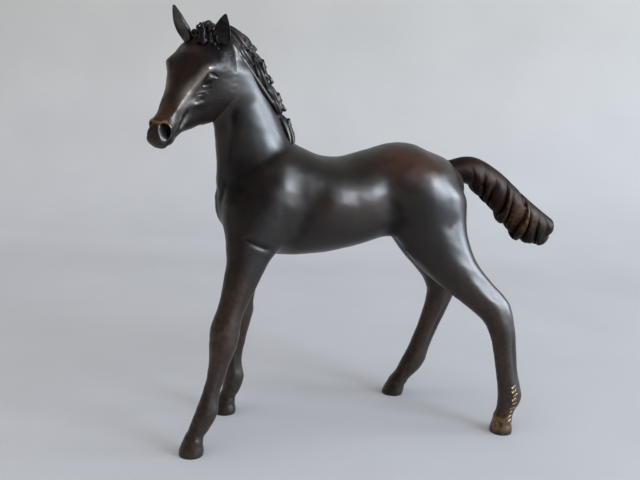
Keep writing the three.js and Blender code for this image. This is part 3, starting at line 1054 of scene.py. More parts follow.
@dataclass(frozen=True)
class BareBronze:
    """Bronze cut through the patina, bright and golden."""

    name: str = "bare_bronze"
    light: Colour = (0.86, 0.62, 0.38)
    dull: Colour = (0.35, 0.21, 0.11)

    def material(self) -> Material:
        """Makes the finish.

        Returns:
            The material.
        """
        g = Graph(self.name)
        tarnish = g.span(g.noise(1.1, 4), 0.35, 0.62)
        bump = g.node("Bump", {"Strength": 0.3, "Distance": 0.0001, "Height": g.noise(0.4, 3)})
        return g.shade(
            {
                "Base Color": g.mix(tarnish, self.light, self.dull),
                "Metallic": 1.0,
                "Roughness": g.span(tarnish, 0, 1, (0.3, 0.5)),
                "Normal": bump.outputs[0],
            }
        )


@dataclass(frozen=True)
class Paper:
    """A plain pale sheet."""

    name: str = "pale_paper"
    low: Colour = (0.46, 0.468, 0.5)
    high: Colour = (0.5, 0.49, 0.475)
    mottle: float = 0.94  # how dark its fainter clouds are

    def material(self) -> Material:
        """Makes the finish.

        Returns:
            The material.
        """
        g = Graph(self.name)
        bump = g.node("Bump", {"Strength": 0.1, "Distance": 0.0005, "Height": g.noise(1.5, 4)})
        height = g.node("SeparateXYZ", {0: g.node("TexCoord").outputs["Object"]}).outputs[2]
        tone = g.mix(g.span(height, 0.0, 0.3), self.low, self.high)
        cloud = g.span(g.noise(90, 3), 0.3, 0.7, (self.mottle, 1))
        tone = g.node("VectorMath", {0: tone, "Scale": cloud}, operation="SCALE").outputs[0]
        return g.shade({"Base Color": tone, "Roughness": 0.75, "Normal": bump.outputs[0]})


# Pieces

RED_PLACES = (
    Mound((30, 17, 145), (17, 13, 9), 0.7, 12),  # croup, red that is partly a painted warm sheen
    Mound((-4, 22, 124), (26, 9, 9), 0.25),  # barrel
    Mound((62, 24, 96), (10, 12, 14), 0.15),  # thigh
    Mound((58, 26, 50), (34, 14, 26), 0.15),  # hocks
    Mound((-62, 24, 66), (18, 12, 26), 0.2),  # forearms
)
# near hind hoof
GOLD_PLACES = (Mound((84, 33, 6), (7, 7, 4), 0.25),)
PAINTED_HIGHLIGHTS = (
    # painted highlight along the edge of the flank's fold
    Fold(((30, 17, 100.5), (33, 20, 98), (38, 23, 92.5), (48, 25, 84)), 0.7, 0.3),
)
# painted shade in the haunch's crease, behind the near shoulder and at the near elbow, and darker forearms
DARK_PLACES = (
    # painted shade in the crease of the haunch
    Fold(((58, 23.5, 120), (51.5, 26.9, 113.6), (45, 27.9, 108)), 3, 0.34, fade=0.4),
    Mound((-27.5, -22, 130), (6.5, 9, 10), 0.8, 0, Side.LEFT),  # painted shade in the hollow behind the near shoulder, near side only
    # painted shade in the crease of the near elbow
    Fold(
        ((-58.5, -24, 110), (-54, -25.6, 107.6), (-48, -25.2, 104.6), (-41, -22, 102.4)),
        1.0,
        0.25,
        Side.LEFT,
    ),
    Mound((-58, 24, 86), (12, 9, 16), 0.22),  # forearms
)


@dataclass(frozen=True)
class Wear:
    """How the patina varies over a piece: its red and golden places, its bright places, which are painted
    highlights, its dark places, most of them painted shade, and the hollows that keep it dark."""

    red: tuple[Relief, ...] = ()
    gold: tuple[Relief, ...] = ()
    # painted highlights
    pale: tuple[Relief, ...] = ()
    # painted shade, with a few places that are only darker
    dark: tuple[Relief, ...] = ()
    depth: float = 0.45  # a hollow this deep keeps the full dark
    passes: int = 24
    rubbed: float = 0.1  # twice the share of gold that a full ridge shows

    def on(self, shell: Shell, points: Array) -> dict[str, Array]:
        """The patina's attributes for a surface: warmth from the red places, a painted highlight from the
        bright ones, worn as gold * (1 + ridge) + rubbed * max(ridge - 0.5, 0), where ridge is 1 on a full
        ridge, and hollow as the hollowness with the dark places, most of them painted shade, added.

        Args:
            shell: the finished surface.
            points: its points in the frame that the places are given in.

        Returns:
            A value for each point, from 0 to 1, by attribute name.
        """
        hollow = shell.hollowness(self.passes, self.depth)
        ridge = np.clip(-hollow, 0, 1)
        values = {
            "warmth": height_of(self.red, points),
            "worn": height_of(self.gold, points) * (1 + ridge) + self.rubbed * np.maximum(ridge - 0.5, 0),
            "hollow": np.maximum(hollow, 0) + height_of(self.dark, points),
            "painted_highlight": height_of(self.pale, points),
        }
        return {name: np.clip(value, 0, 1) for name, value in values.items()}


def piece(
    name: str, shell: Shell, finish: Material, marks: dict[str, Array] | None = None
) -> bpy.types.Object:
    """Makes a surface a piece of the foal: a mesh in metres, in the frame, which settled hangs on the
    casting's body.

    Args:
        name: the piece's name.
        shell: its surface, in millimetres.
        finish: its material.
        marks: a value for each point, by attribute name.

    Returns:
        The piece.
    """
    middle = np.array(CASTING_MIDDLE)
    mesh = mesh_of(Shell((shell.points - middle) * METRES, shell.quads, shell.triangles), name)
    for mark, values in (marks or {}).items():
        mesh.attributes.new(mark, "FLOAT", "POINT").data.foreach_set("value", values.astype(np.float32))
    mesh.materials.append(finish)
    made = bpy.data.objects.new(name, mesh)
    bpy.context.scene.collection.objects.link(made)
    return made


def settled(made: bpy.types.Object) -> bpy.types.Object:
    """Declares a finished piece to the frame and reports it.

    Args:
        made: the piece.

    Returns:
        The same piece.
    """
    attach(made, BODY)
    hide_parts(NODE)
    LOG.info("%s: %d points, %d faces", made.name, len(made.data.vertices), len(made.data.polygons))
    return made


@dataclass(frozen=True)
class Body:
    """Trunk, neck and legs, cast as one and cut flat at the soles."""

    grain: float = 1.7  # width of the faces that the lofts are fused with, before they are divided
    neck_fillet: float = 9.0
    leg_fillet: float = 9.0
    passes: int = 26
    leg_share: float = 0.22  # the share of the easing that the legs get
    eased_from: Row = (70, 92)  # heights between which that share grows to the whole
    worn_passes: int = 16
    # where thigh meets rump, worn down to one broad curve
    worn_down: tuple[Relief, ...] = (Mound((56, 20, 130), (14, 13, 14), 1.0, steepness=2),)
    limb_reach: float = 2.5  # how far outside a leg its relief still counts
    limb_top: float = 100.0  # and up to which height
    coronet: Row = (8.5, 1.1)  # its height at the quarters, and how much higher it lies in front
    sharp: float = 48.0  # degrees past which an edge between two faces shows
    muscles: tuple[Relief, ...] = (
        Mound((-24, 26, 118), (6, 12, 20), -1.4, 20),  # hollow behind the shoulder
        Mound((-30.5, 24, 135), (8, 10, 10), -0.5),  # hollow below the withers
        Mound((4, 22, 108), (18, 16, 8), 1),  # ribs
        Mound((22, 24, 122), (7, 14, 14), -2, -25),  # hollow of the flank
        Mound((42, 22, 140), (14, 14, 12), 1.2),  # hip
        Mound((54, 20, 128), (12, 12, 16), 0.5),  # seat bone
        Mound((-40, 22, 134), (9, 8, 9), 1),  # shoulder
        Mound((-60, 15, 122), (7, 6, 8), 1.2),  # point of the shoulder
        Mound((-64, 8.5, 130), (5, 2.6, 8), -1, 15),  # furrow beside the neck
        Mound((-63, 7, 118), (8, 6, 8), 1.2),  # breast
        Mound((-68, 0, 119), (9, 3, 12), -1.6),  # furrow between the breasts
    )
    folds: tuple[Relief, ...] = (
        # crease of the elbow, with the lip below it
        Fold(((-58.5, 24, 110), (-54, 25.6, 107.6), (-48, 25.2, 104.6), (-41, 22, 102.4)), 1.4, -0.8),
        Fold(((-57, 24.5, 107), (-52, 25.4, 104.6), (-46, 24.4, 101.8), (-41, 21.5, 100)), 1.5, 0.18),
        # crease of the haunch
        Fold(((57, 24, 119), (51.5, 26.9, 114.6), (46.5, 27.9, 110)), 2.6, -0.35, fade=0.45),
        # edge of the breast, and groove of the neck
        Fold(((-62.8, 10.1, 134), (-65.2, 7.4, 127.7), (-65.9, 1.4, 122.8)), 2.0, 0.35),
        Fold(((-58.8, 13.3, 175), (-61.1, 11.7, 157.4), (-62.4, 9.7, 140.3)), 2.6, -0.9),
        # edge of the flank's fold, and join of the tail
        Fold(((28, 14.5, 102.5), (32, 19.5, 99), (38, 23, 92.5), (48, 25, 84)), 1.0, 0.7),
        Fold(((58.5, 11.5, 143), (62, 10.5, 139), (64, 10, 134.5), (64, 7, 130)), 0.6, 0.15),
    )
    hand: tuple[Relief, ...] = (Ripple(16, 0.035, 3), Ripple(6.5, 0.018, 4))
    # small lump at the point of the near shoulder
    lump: Mound = Mound((-63, -14.6, 122.8), (1.1, 3, 1.1), 0.5, 0, Side.LEFT)
    fore_knobs: tuple[Knob, ...] = (
        Knob(-0.55, 112, 20, 37, 11),  # between cannon bone and tendons
        Knob(0.35, 180, 30, 37, 12),  # tendons
        Knob(0.8, 175, 30, 60.5, 3.4),  # bone behind the knee
        Knob(0.4, 55, 26, 63.5, 3),  # the knee's upper bones
        Knob(0.4, 55, 26, 53.5, 2.6),  # and its lower ones
        Knob(-0.35, 30, 40, 58.5, 1.8),  # between them
        Knob(-0.5, 125, 16, 80, 12),  # between the forearm's muscles
    )
    hind_knobs: tuple[Knob, ...] = (
        Knob(-0.9, 118, 17, 46, 14),  # between cannon bone and tendons
        Knob(-0.7, 128, 18, 80, 8),  # in front of the tendon above the hock
        Knob(0.5, 70, 26, 62, 5),  # side of the hock
        Knob(0.4, 180, 26, 72, 5),  # point of the hock
    )
    fetlock_knobs: tuple[Knob, ...] = (
        Knob(0.45, 145, 24, 21.5, 3),  # small bones behind the fetlock
        Knob(-0.3, 180, 40, 14, 1.6),  # crease over the pastern
    )

    def flesh(self) -> Shell:
        """The lofts with their fillets, fused, eased and divided.

        Returns:
            The surface without its muscles.
        """
        legs = FORELEGS + HINDLEGS

        def to_limbs(points: Array, *_: Array) -> Array:
            """The trunk's fillets towards neck and legs."""
            height = fillet(NECK.outside(points), self.neck_fillet)
            return height + sum(fillet(leg.outside(points), self.leg_fillet) for leg in legs)

        def to_trunk(points: Array, *_: Array) -> Array:
            """A limb's fillet towards the trunk."""
            return fillet(TRUNK.outside(points), self.leg_fillet)

        parts = [loft(TRUNK, 96, 10, relief=to_limbs), loft(NECK, 80, 10, relief=to_trunk)]
        parts += [loft(leg, 56, 8, relief=to_trunk) for leg in legs]
        rough = fused(parts, self.grain)
        share = self.leg_share + (1 - self.leg_share) * rise(rough.points[:, 2], *self.eased_from)
        rough = rough.eased(self.passes, share)
        return refined(rough.eased(self.worn_passes, height_of(self.worn_down, rough.points), 0))

    def limbs(self, points: Array) -> Array:
        """The relief of bones, tendons and hooves, from each point's angle round the leg that it lies on
        and from its level.

        Args:
            points: one point in each row.

        Returns:
            A height for each point.
        """
        total = np.zeros(len(points))
        for legs, knobs in ((FORELEGS, self.fore_knobs), (HINDLEGS, self.hind_knobs)):
            for leg in legs:
                near = (leg.outside(points, 60) < self.limb_reach) & (points[:, 2] < self.limb_top)
                turn = np.degrees(np.abs(leg.angles(points[near])))
                level = points[near, 2]
                bones = sum(knob.on(turn, level) for knob in knobs + self.fetlock_knobs)
                total[near] += bones + self.hoof(turn, level)
        return total

    def hoof(self, turn: Array, level: Array) -> Array:
        """The relief of a hoof: a swollen band at the coronet, whose level follows the cosine of the angle,
        a furrow below it and a rubbed lower edge, each a bell curve of the level.

        Args:
            turn: angles round the leg, in degrees.
            level: levels above the ground.

        Returns:
            A height for each point.
        """
        middle, slope = self.coronet
        band = middle + slope * np.cos(np.radians(turn))
        return 0.2 * bell(level, band, 1.6) - 0.15 * bell(level, band - 2.4, 1.2) - 0.4 * bell(level, 0, 1.2)

    def surface(self) -> Shell:
        """The finished surface, still reaching below the soles.

        Returns:
            The surface.
        """
        shell = self.flesh()
        points = shell.points
        head = fillet(Head().distance(points), Carriage().fillet_width(points))
        shell = shell.raised(height_of(self.muscles, points) + head)
        points = shell.points
        shell = shell.raised(height_of(self.folds + self.hand, points) + self.limbs(points))
        return shell.raised(self.lump.on(points))

    def build(self, finish: Material) -> bpy.types.Object:
        """Makes the piece, dresses it and cuts it flat at the soles.

        Args:
            finish: the piece's material.

        Returns:
            The piece.
        """
        shell = self.surface()
        wear = Wear(RED_PLACES, GOLD_PLACES, PAINTED_HIGHLIGHTS, DARK_PLACES)
        made = piece("foal_body", shell, finish, wear.on(shell, shell.points))
        cut_flat(made.data)
        made.data.set_sharp_from_angle(angle=math.radians(self.sharp))
        return settled(made)


def cut_flat(mesh: bpy.types.Mesh) -> None:
    """Cuts away what lies below Z = 0 and fills each cut with a flat sole.

    Args:
        mesh: the mesh that is cut.
    """
    work = bmesh.new()
    work.from_mesh(mesh)
    whole = work.verts[:] + work.edges[:] + work.faces[:]
    floor = {"plane_co": (0, 0, 0), "plane_no": (0, 0, 1)}
    bmesh.ops.bisect_plane(work, geom=whole, dist=1e-7, clear_inner=True, **floor)
    bmesh.ops.holes_fill(work, edges=[e for e in work.edges if e.is_boundary], sides=0)
    bmesh.ops.triangulate(work, faces=[f for f in work.faces if len(f.verts) > 4])
    work.to_mesh(mesh)
    work.free()


@dataclass(frozen=True)
class Head:
    """The skull with its face, on a fine grid of its own."""

    carriage: Carriage = Carriage()
    sides: int = 400
    steps: float = 22
    squareness: float = 0.8
    broad: tuple[Relief, ...] = (
        Mound((-18.5, 12, 2.6), (4.2, 4.5, 2.4), 2.2, -8),  # brow
        Mound((-8, 13.2, -1.2), (8, 5, 4.2), 1.2),  # temple
        Mound((-27, 8, 0.2), (6.5, 3, 2.2), 0.5, -11),  # edge of the face
        Mound((-37.5, 5.2, -3), (5, 2.4, 2), 1.2, -11),  # bridge of the nose
        Mound((-22, 12, -2.4), (6.5, 5, 4), -1.3, 19),  # eye socket
        Mound((-30, 9, -5), (7, 4, 2.4), -0.7, 20),  # hollow below the edge of the face
        Mound((-29.5, 9, -9), (6, 5, 2.2), 0.5, 20),  # cheek bone
        Mound((-39.5, 6, -9.6), (5.5, 5, 1.1), -0.6, -23),  # groove to the mouth's corner
        Mound((-15, 12, -17), (8, 7, 8), 1.2),  # jowl
        Mound((-3.2, 9.6, 3.4), (5, 4.5, 4), 0.9),  # root of the ear
        Mound((-50, 6.4, -5), (3.4, 3, 2.8), 1.2),  # nostril's flare
        Mound((-49.5, 0, -15.4), (4, 4, 2), 0.8),  # chin
    )
    fine: tuple[Relief, ...] = (
        # the edge of the face, from the brow to the nose
        Fold(
            (
                (-18.1, 12.5, 2.4),
                (-20.9, 11, 1.7),
                (-24.1, 8.9, 0.4),
                (-28.4, 7, -0.7),
                (-33.4, 5.9, -2.4),
                (-38, 5.2, -3.9),
            ),
            2.1,
            0.75,
        ),
        Mound((-18.4, 12.4, 2.6), (1.6, 2, 1.5), 0.3),
        # the eyeball between its lids
        Mound((-19.7, 12.4, -1.5), (2.0, 4, 1.5), 1.0, 19),
        Fold(
            (
                (-23.2, 10, -1.6),
                (-21.5, 11, -0.1),
                (-20.1, 11.9, 0.8),
                (-18.7, 12.7, 0.6),
                (-17.4, 13.1, -1.1),
                (-16.7, 13.4, -3.0),
                (-15.1, 13.8, -4.3),
            ),
            0.55,
            -0.85,
            fade=0.15,
        ),
        Fold(((-23.2, 10.2, -2.2), (-21.6, 11.4, -3.2), (-20, 12.5, -3.4)), 0.5, -0.4, fade=0.15),
        Fold(((-24.2, 9.3, -3), (-23, 10.6, -4), (-21.4, 12, -4.3), (-20, 12.8, -4.2)), 0.4, 0.26, fade=0.12),
        # the pouch below the eye, with its folds of skin
        Fold(((-18.6, 13.2, -4.2), (-18.8, 13.2, -6), (-20.9, 12.3, -7.6), (-23.6, 10.9, -9)), 0.7, 0.12),
        Fold(((-25.6, 9.4, -4.6), (-23.2, 11, -5.4), (-20.8, 12.5, -5.6)), 0.5, -0.3, fade=0.2),
        Fold(((-28.1, 8.5, -4.8), (-26.6, 9.2, -5.8), (-24.8, 10.1, -6.3)), 0.45, -0.3, fade=0.2),
        Fold(
            ((-28.9, 8.1, -5.3), (-26.9, 8.9, -6.5), (-25.2, 9.9, -7), (-23.6, 10.8, -7)),
            0.4,
            0.26,
            fade=0.12,
        ),
        Fold(((-24.4, 10.5, -9), (-22.6, 11.5, -8.2), (-21.2, 12.3, -7.3)), 0.45, 0.22, fade=0.15),
        Fold(((-31.5, 7.9, -6.7), (-28.6, 8.8, -7.8), (-25.6, 10, -8.4)), 0.9, -0.35),
        Fold(((-34, 6.8, -7.6), (-30.9, 7.8, -8.6), (-28.9, 8.5, -9.3), (-26.4, 9.8, -9.6)), 0.9, 0.25),
        # from the cheek to the corner of the mouth
        Fold(((-33, 7.4, -8.6), (-37.4, 6.3, -9.4), (-41, 5.8, -10.6), (-45, 5.6, -12.4)), 0.9, -0.5),
        Fold(((-45, 5.6, -13.6), (-40, 6, -12.6), (-34, 7.4, -12.6)), 1.4, 0.3),
        # the mouth
        Fold(
            (
                (-56.6, -1, -11.2),
                (-55.8, 3, -11.2),
                (-53, 4.8, -11.2),
                (-49.5, 5.6, -11.6),
                (-45.5, 5.7, -12.6),
            ),
            0.5,
            -0.35,
            fade=0.15,
        ),
        # the rim that arches over both nostrils
        Fold(
            (
                (-49.7, -1, -2.5),
                (-49.4, 2.2, -2.7),
                (-48, 3.9, -3),
                (-47.8, 5.2, -3.9),
                (-48.2, 6.3, -5.2),
                (-48.8, 6.6, -6.4),
            ),
            0.6,
            0.3,
            fade=0.1,
        ),
        Fold(((-40, 0, -0.8), (-30, 0, 2.0), (-20, 0, 6.2)), 4, -0.3),  # middle of the face
    )
    nostril: Mound = Mound((-51.6, 4.8, -5.6), (1.95, 3.2, 3.2), 4.6, 34, steepness=2.2)
    # the way that a nostril leads in: backwards, towards the middle and down
    nostril_runs: Row = (0.75, -0.5, -0.3)
    hand: tuple[Relief, ...] = (Ripple(9, 0.035, 11), Ripple(2.6, 0.015, 12))
    red: tuple[Relief, ...] = (
        Mound((-22, 2, 4), (15, 7.5, 6), 0.22, -11),  # forehead
        Mound((-44, 2, -3), (6, 4, 4), 0.6),  # nose
    )
    gold: tuple[Relief, ...] = (
        Fold(((-49.7, -1, -2.5), (-49.4, 2.2, -2.7), (-48, 3.9, -3), (-47.6, 5, -3.8)), 0.9, 0.32, fade=0.25),
        Fold(((-48.2, 3.6, -3), (-47.9, 5.2, -3.8), (-48.2, 6.3, -5.2), (-48.8, 6.6, -6.6)), 0.9, 0.75),
        Mound((-40.7, 5.5, -8.1), (2.2, 3, 1.0), 0.3),
    )
    # painted highlights in pale, where the light is meant to catch
    pale: tuple[Relief, ...] = (
        # painted highlight along the edge of the face
        Fold(
            ((-18, 12, 3), (-21, 10.8, 2.2), (-24.1, 8.7, 0.9), (-28.4, 6.9, -0.1), (-33.4, 5.7, -1.8)),
            1.7,
            0.4,
            fade=0.15,
        ),
        Mound((-18.1, 12.4, 2.7), (1.9, 2.2, 1.7), 0.4),  # painted highlight on the brow
        Mound((-33, 6, -2.6), (5, 3, 2.2), 0.5, -20),  # painted highlight on the bridge of the nose
        Mound((-31, 7.4, -5.4), (5, 2, 1.6), 0.2, 20),  # painted highlight below it
        Mound((-26, 9.6, -4.6), (2.6, 2, 0.8), 0.2, 20),  # painted highlight in front of the eye
    )
    # painted shade in the nostril, the hollows above the eye and below the ear, under the upper lid and in
    # the furrows below the eye, and a darker forehead
    dark: tuple[Relief, ...] = (
        Mound((-50.4, 3.6, -6.4), (3.6, 3, 3.1), 1.1, 34, steepness=3),  # painted shade in the nostril
        Mound((-8, 13, 1.4), (7, 5, 4.6), 1.0),  # painted shade in the hollow above the eye
        Mound((-2, 13, 0.8), (6, 5.5, 6.6), 0.9),  # painted shade below the ear
        Mound((-20, 0, 6), (15, 7, 6), 0.22, -11),  # forehead
        # painted shade under the upper lid
        Fold(
            (
                (-23.2, 10, -1.6),
                (-21.5, 11, -0.1),
                (-20.1, 11.9, 0.8),
                (-18.7, 12.7, 0.6),
                (-17.4, 13.1, -1.1),
            ),
            0.7,
            0.5,
        ),
        # painted shade in the furrows below the eye
        Fold(((-27, 9, -5), (-23.2, 11, -5.6), (-20.2, 12.5, -5.4)), 0.5, 0.4),
        Fold(((-31.5, 7.9, -6.7), (-28.6, 8.8, -7.8), (-25.6, 10, -8.4), (-22, 11.8, -8.8)), 0.8, 0.4),
    )

    def distance(self, points: Array) -> Array:
        """How far points of the foal's frame lie outside the head."""
        local = self.carriage.local(points)
        return HEAD.outside(local, squareness=self.squareness) - height_of(self.broad, local)

    def surface(self) -> Shell:
        """The head's surface in its own frame: the loft with its broad forms, then the fine ones along the
        normal, then the nostrils, which move points in the direction that they lead.

        Returns:
            The surface.
        """

        def broad(points: Array, *_: Array) -> Array:
            """The broad forms, with the fillet towards the neck.

            Args:
                points: points of the head's own frame.
                *_: places along the head and angles round it, which the forms don't depend on.

            Returns:
                A height for each point.
            """
            placed = self.carriage.placed(points)
            neck = NECK.outside(placed) - height_of(Body().folds, placed)
            meeting = fillet(neck, self.carriage.fillet_width(placed))
            return height_of(self.broad, points) + meeting

        shell = loft(HEAD, self.sides, self.steps, squareness=self.squareness, relief=broad)
        shell = shell.raised(height_of(self.fine + self.hand, shell.points))
        inwards = np.tile(self.nostril_runs, (len(shell.points), 1))
        inwards[:, 1] *= np.sign(shell.points[:, 1])
        points = shell.points + inwards * self.nostril.on(shell.points)[:, None]
        return Shell(points, shell.quads, shell.triangles)

    def build(self, finish: Material) -> bpy.types.Object:
        """Makes the piece and dresses it.

        Args:
            finish: the piece's material.

        Returns:
            The piece.
        """
        shell = self.surface()
        wear = Wear(self.red, self.gold, self.pale, self.dark, depth=0.3, passes=40, rubbed=0.06)
        return settled(piece("foal_head", self.carriage.carried(shell), finish, wear.on(shell, shell.points)))


@dataclass(frozen=True)
class Ears:
    """Two pricked ears, each standing along its own Z axis, tip first, and hollowed towards -X by a negative
    lead."""

    carriage: Carriage = Carriage()
    rail: Rail = Rail(
        (
            (0.6, 0, 17.8, 0.2, 0.7, 0.7),
            (0.1, 0, 14.8, -0.5, 1.9, 2.3),
            (-0.4, 0, 10.6, -1.4, 3, 3.8),
            (-0.5, 0, 6.4, -1.7, 3.7, 4.4),
            (-0.2, 0, 2.4, 0, 3.4, 3.6),
            (0.4, 0, -1.6, 1.4, 2.0, 2.2),
        )
    )
    root: Row = (-3.4, 9.6, 2.8)
    # a painted highlight in the far ear's opening
    pale: tuple[Relief, ...] = (Mound((1.5, 11, 9), (2, 5, 5), 0.4, 0, Side.RIGHT),)
    near_size: float = 0.95  # the near ear's size, against the far one's
    near_lean: float = 7.0  # degrees that the near ear leans out further
    back: float = 18.0  # degrees that an ear leans backwards
    out: float = 15.0  # degrees that it leans to its own side
    opened: float = 12.0  # degrees that its opening faces away from straight ahead

    def ear(self, side: Side) -> Shell:
        """One ear in the head's frame: the loft, turned and set on its root.

        Args:
            side: the side that it stands on.

        Returns:
            Its surface.
        """
        s = side.value
        shell = loft(self.rail, 96, 22, dome=0.3)
        shell = shell.raised(Ripple(4, 0.05, 20 + s).on(shell.points))
        out = self.out + (self.near_lean if side is Side.LEFT else 0)
        matrix = turned("Y", self.back) @ turned("X", -s * out) @ turned("Z", -s * self.opened)
        root = np.array([self.root[0], s * self.root[1], self.root[2]])
        size = self.near_size if side is Side.LEFT else 1.0
        return Shell(size * shell.points @ matrix.T + root, shell.quads, shell.triangles)

    def build(self, finish: Material) -> bpy.types.Object:
        """Makes both ears one piece and dresses them.

        Args:
            finish: the piece's material.

        Returns:
            The piece.
        """
        shell = together([self.ear(side) for side in (Side.LEFT, Side.RIGHT)])
        wear = Wear(pale=self.pale, depth=0.4, passes=30)
        return settled(piece("foal_ears", self.carriage.carried(shell), finish, wear.on(shell, shell.points)))


def rows_of(points: Array) -> tuple[Row, ...]:
    """Points as plain rows of numbers."""
    return tuple(map(tuple, points))


@dataclass(frozen=True)
class Lock:
    """A lock of hair through a few points: full in the middle, tapered at its tip, and grooved along its
    length."""

    path: tuple[Row, ...]
    thickness: float
    shape: Row = (0.55, 1, 0.9, 0.35)  # radius along the lock, as shares of the thickness
    flatness: float = 1.0  # width against depth
    grooves: int = 5
    groove_depth: float = 0.16  # as a share of the thickness
    turn: float = 1.5  # how many grooves further round they end than they start
    stations: int = 4  # sections for each point of the path

    def surface(self, sides: int = 30, steps: float = 8) -> Shell:
        """The lock's loft, whose grooves are depth * cos(grooves * a + 2 * pi * turn * t) round and along it.

        Args:
            sides: the number of points in a ring.
            steps: the number of rings for each point of the path.

        Returns:
            The surface.
        """
        count = self.stations * len(self.path)
        shares = np.linspace(0, 1, count)
        centres = through(np.array(self.path), shares)
        radius = self.thickness * through(np.array(self.shape)[:, None], shares)[:, 0]
        rows = np.column_stack([centres, radius, radius, radius * self.flatness])

        def strands(_: Array, t: Array, angle: Array) -> Array:
            """The relief of the strands."""
            wave = np.cos(self.grooves * (angle + 2 * math.pi * self.turn * t / self.grooves))
            return self.groove_depth * self.thickness * wave * rise(np.minimum(t, 1 - t), 0, 0.12)

        return loft(Rail(rows_of(rows)), sides, steps / self.stations, relief=strands)


@dataclass(frozen=True)
class Curl:
    """The path of a curl of hair: it runs round its own middle in the plane of two axes and closes in on
    it, rising as it goes."""

    size: float
    start: float  # degrees, where its outer end lies
    sweep: float = 330.0  # degrees that it runs round
    tightness: float = 0.45  # the share of its size that it has closed in to at its inner end

    def path(self, count: int = 9) -> tuple[Array, Array, Array]:
        """The curl's path: reach * cos(turn) along the first axis and reach * sin(turn) along the second,
        where turn grows evenly and reach shrinks evenly.

        Args:
            count: the number of points.

        Returns:
            The places along the first axis, those along the second, and the shares of the rise.
        """
        share = np.linspace(0, 1, count)
        turn = np.radians(self.start + self.sweep * share)
        reach = self.size * (1 + (self.tightness - 1) * share)
        return reach * np.cos(turn), reach * np.sin(turn), share


@dataclass(frozen=True)
class Forelock:
    """Locks that fold over the poll between the ears, with small curls on them."""

    carriage: Carriage = Carriage()
    # place across and top of each lock
    folds: tuple[Row, ...] = ((-7.5, 9), (-5, 11), (-2.5, 12.4), (0.5, 9.2), (3.5, 6.6), (6.5, 5), (9, 4.2))
    reach: Row = (3.6, 5.2, 6.8, 5.6, 6.2, 4.4, 3.4)  # how far each lock hangs forwards
    # along a lock: place forwards, share of its reach, place across, height above its top
    fall: tuple[Row, ...] = ((2.5, 0, 0, -7), (1.5, 0, 0, -2.6), (0, -0.4, -0.5, -2.6), (0, -1, -1.8, -5.2))
    thickness: float = 2.5
    curl_thickness: float = 0.8
    curl_down: Row = (0.5, 0, 0.8)  # the second axis of a curl's plane; the first one runs across
    curl_rise: Row = (-0.5, 0, 0.5)
    grain: float = 0.26
    # middle, size, start in degrees
    curls: tuple[Row, ...] = (
        (-5.6, -4.2, 6.6, 2.0, 200),
        (-5.4, -0.4, 7.6, 2.1, 20),
        (-5.6, 3.2, 4.0, 1.8, 190),
        (-5.0, -7.2, 4.6, 1.8, 30),
        (-5.2, 6.6, 2.3, 1.6, 160),
        (-6.2, -9.4, 3.2, 1.6, 60),
        (-2.4, -1.6, 12.2, 2.0, 90),
        (-2.6, 2.8, 8.4, 1.8, 250),
        (-1.6, -5.6, 11.2, 1.9, 300),
        (-7.0, -1.8, 4.4, 1.6, 100),
        (-7.0, 1.6, 4.0, 1.5, 320),
    )

    def locks(self) -> list[Shell]:
        """The folded locks: each rises behind the poll, passes over it and hangs forwards.

        Returns:
            A surface for each lock.
        """
        made = []
        for i, ((y, top), reach) in enumerate(zip(self.folds, self.reach)):
            path = tuple((x + share * reach, y + aside, top + above) for x, share, aside, above in self.fall)
            lock = Lock(path, self.thickness, groove_depth=0.12, turn=0.6 * (-1) ** i)
            made.append(lock.surface(36, 10))
        return made

    def small_curls(self) -> list[Shell]:
        """The small curls, which lie in planes that face forwards and up.

        Returns:
            A surface for each curl.
        """
        made = []
        for x, y, z, size, start in self.curls:
            across, down, lift = (part[:, None] for part in Curl(size, start).path())
            path = (x, y, z) + across * ACROSS + down * self.curl_down + lift * self.curl_rise
            lock = Lock(rows_of(path), self.curl_thickness, (0.7, 1, 1, 0.7), grooves=3)
            made.append(lock.surface(18, 4))
        return made

    def build(self, finish: Material) -> bpy.types.Object:
        """Makes the locks and curls one piece and dresses it.

        Args:
            finish: the piece's material.

        Returns:
            The piece.
        """
        shell = fused(self.locks() + self.small_curls(), self.grain).eased(2)
        marks = Wear(depth=0.3).on(shell, shell.points)
        return settled(piece("foal_forelock", self.carriage.carried(shell), finish, marks))


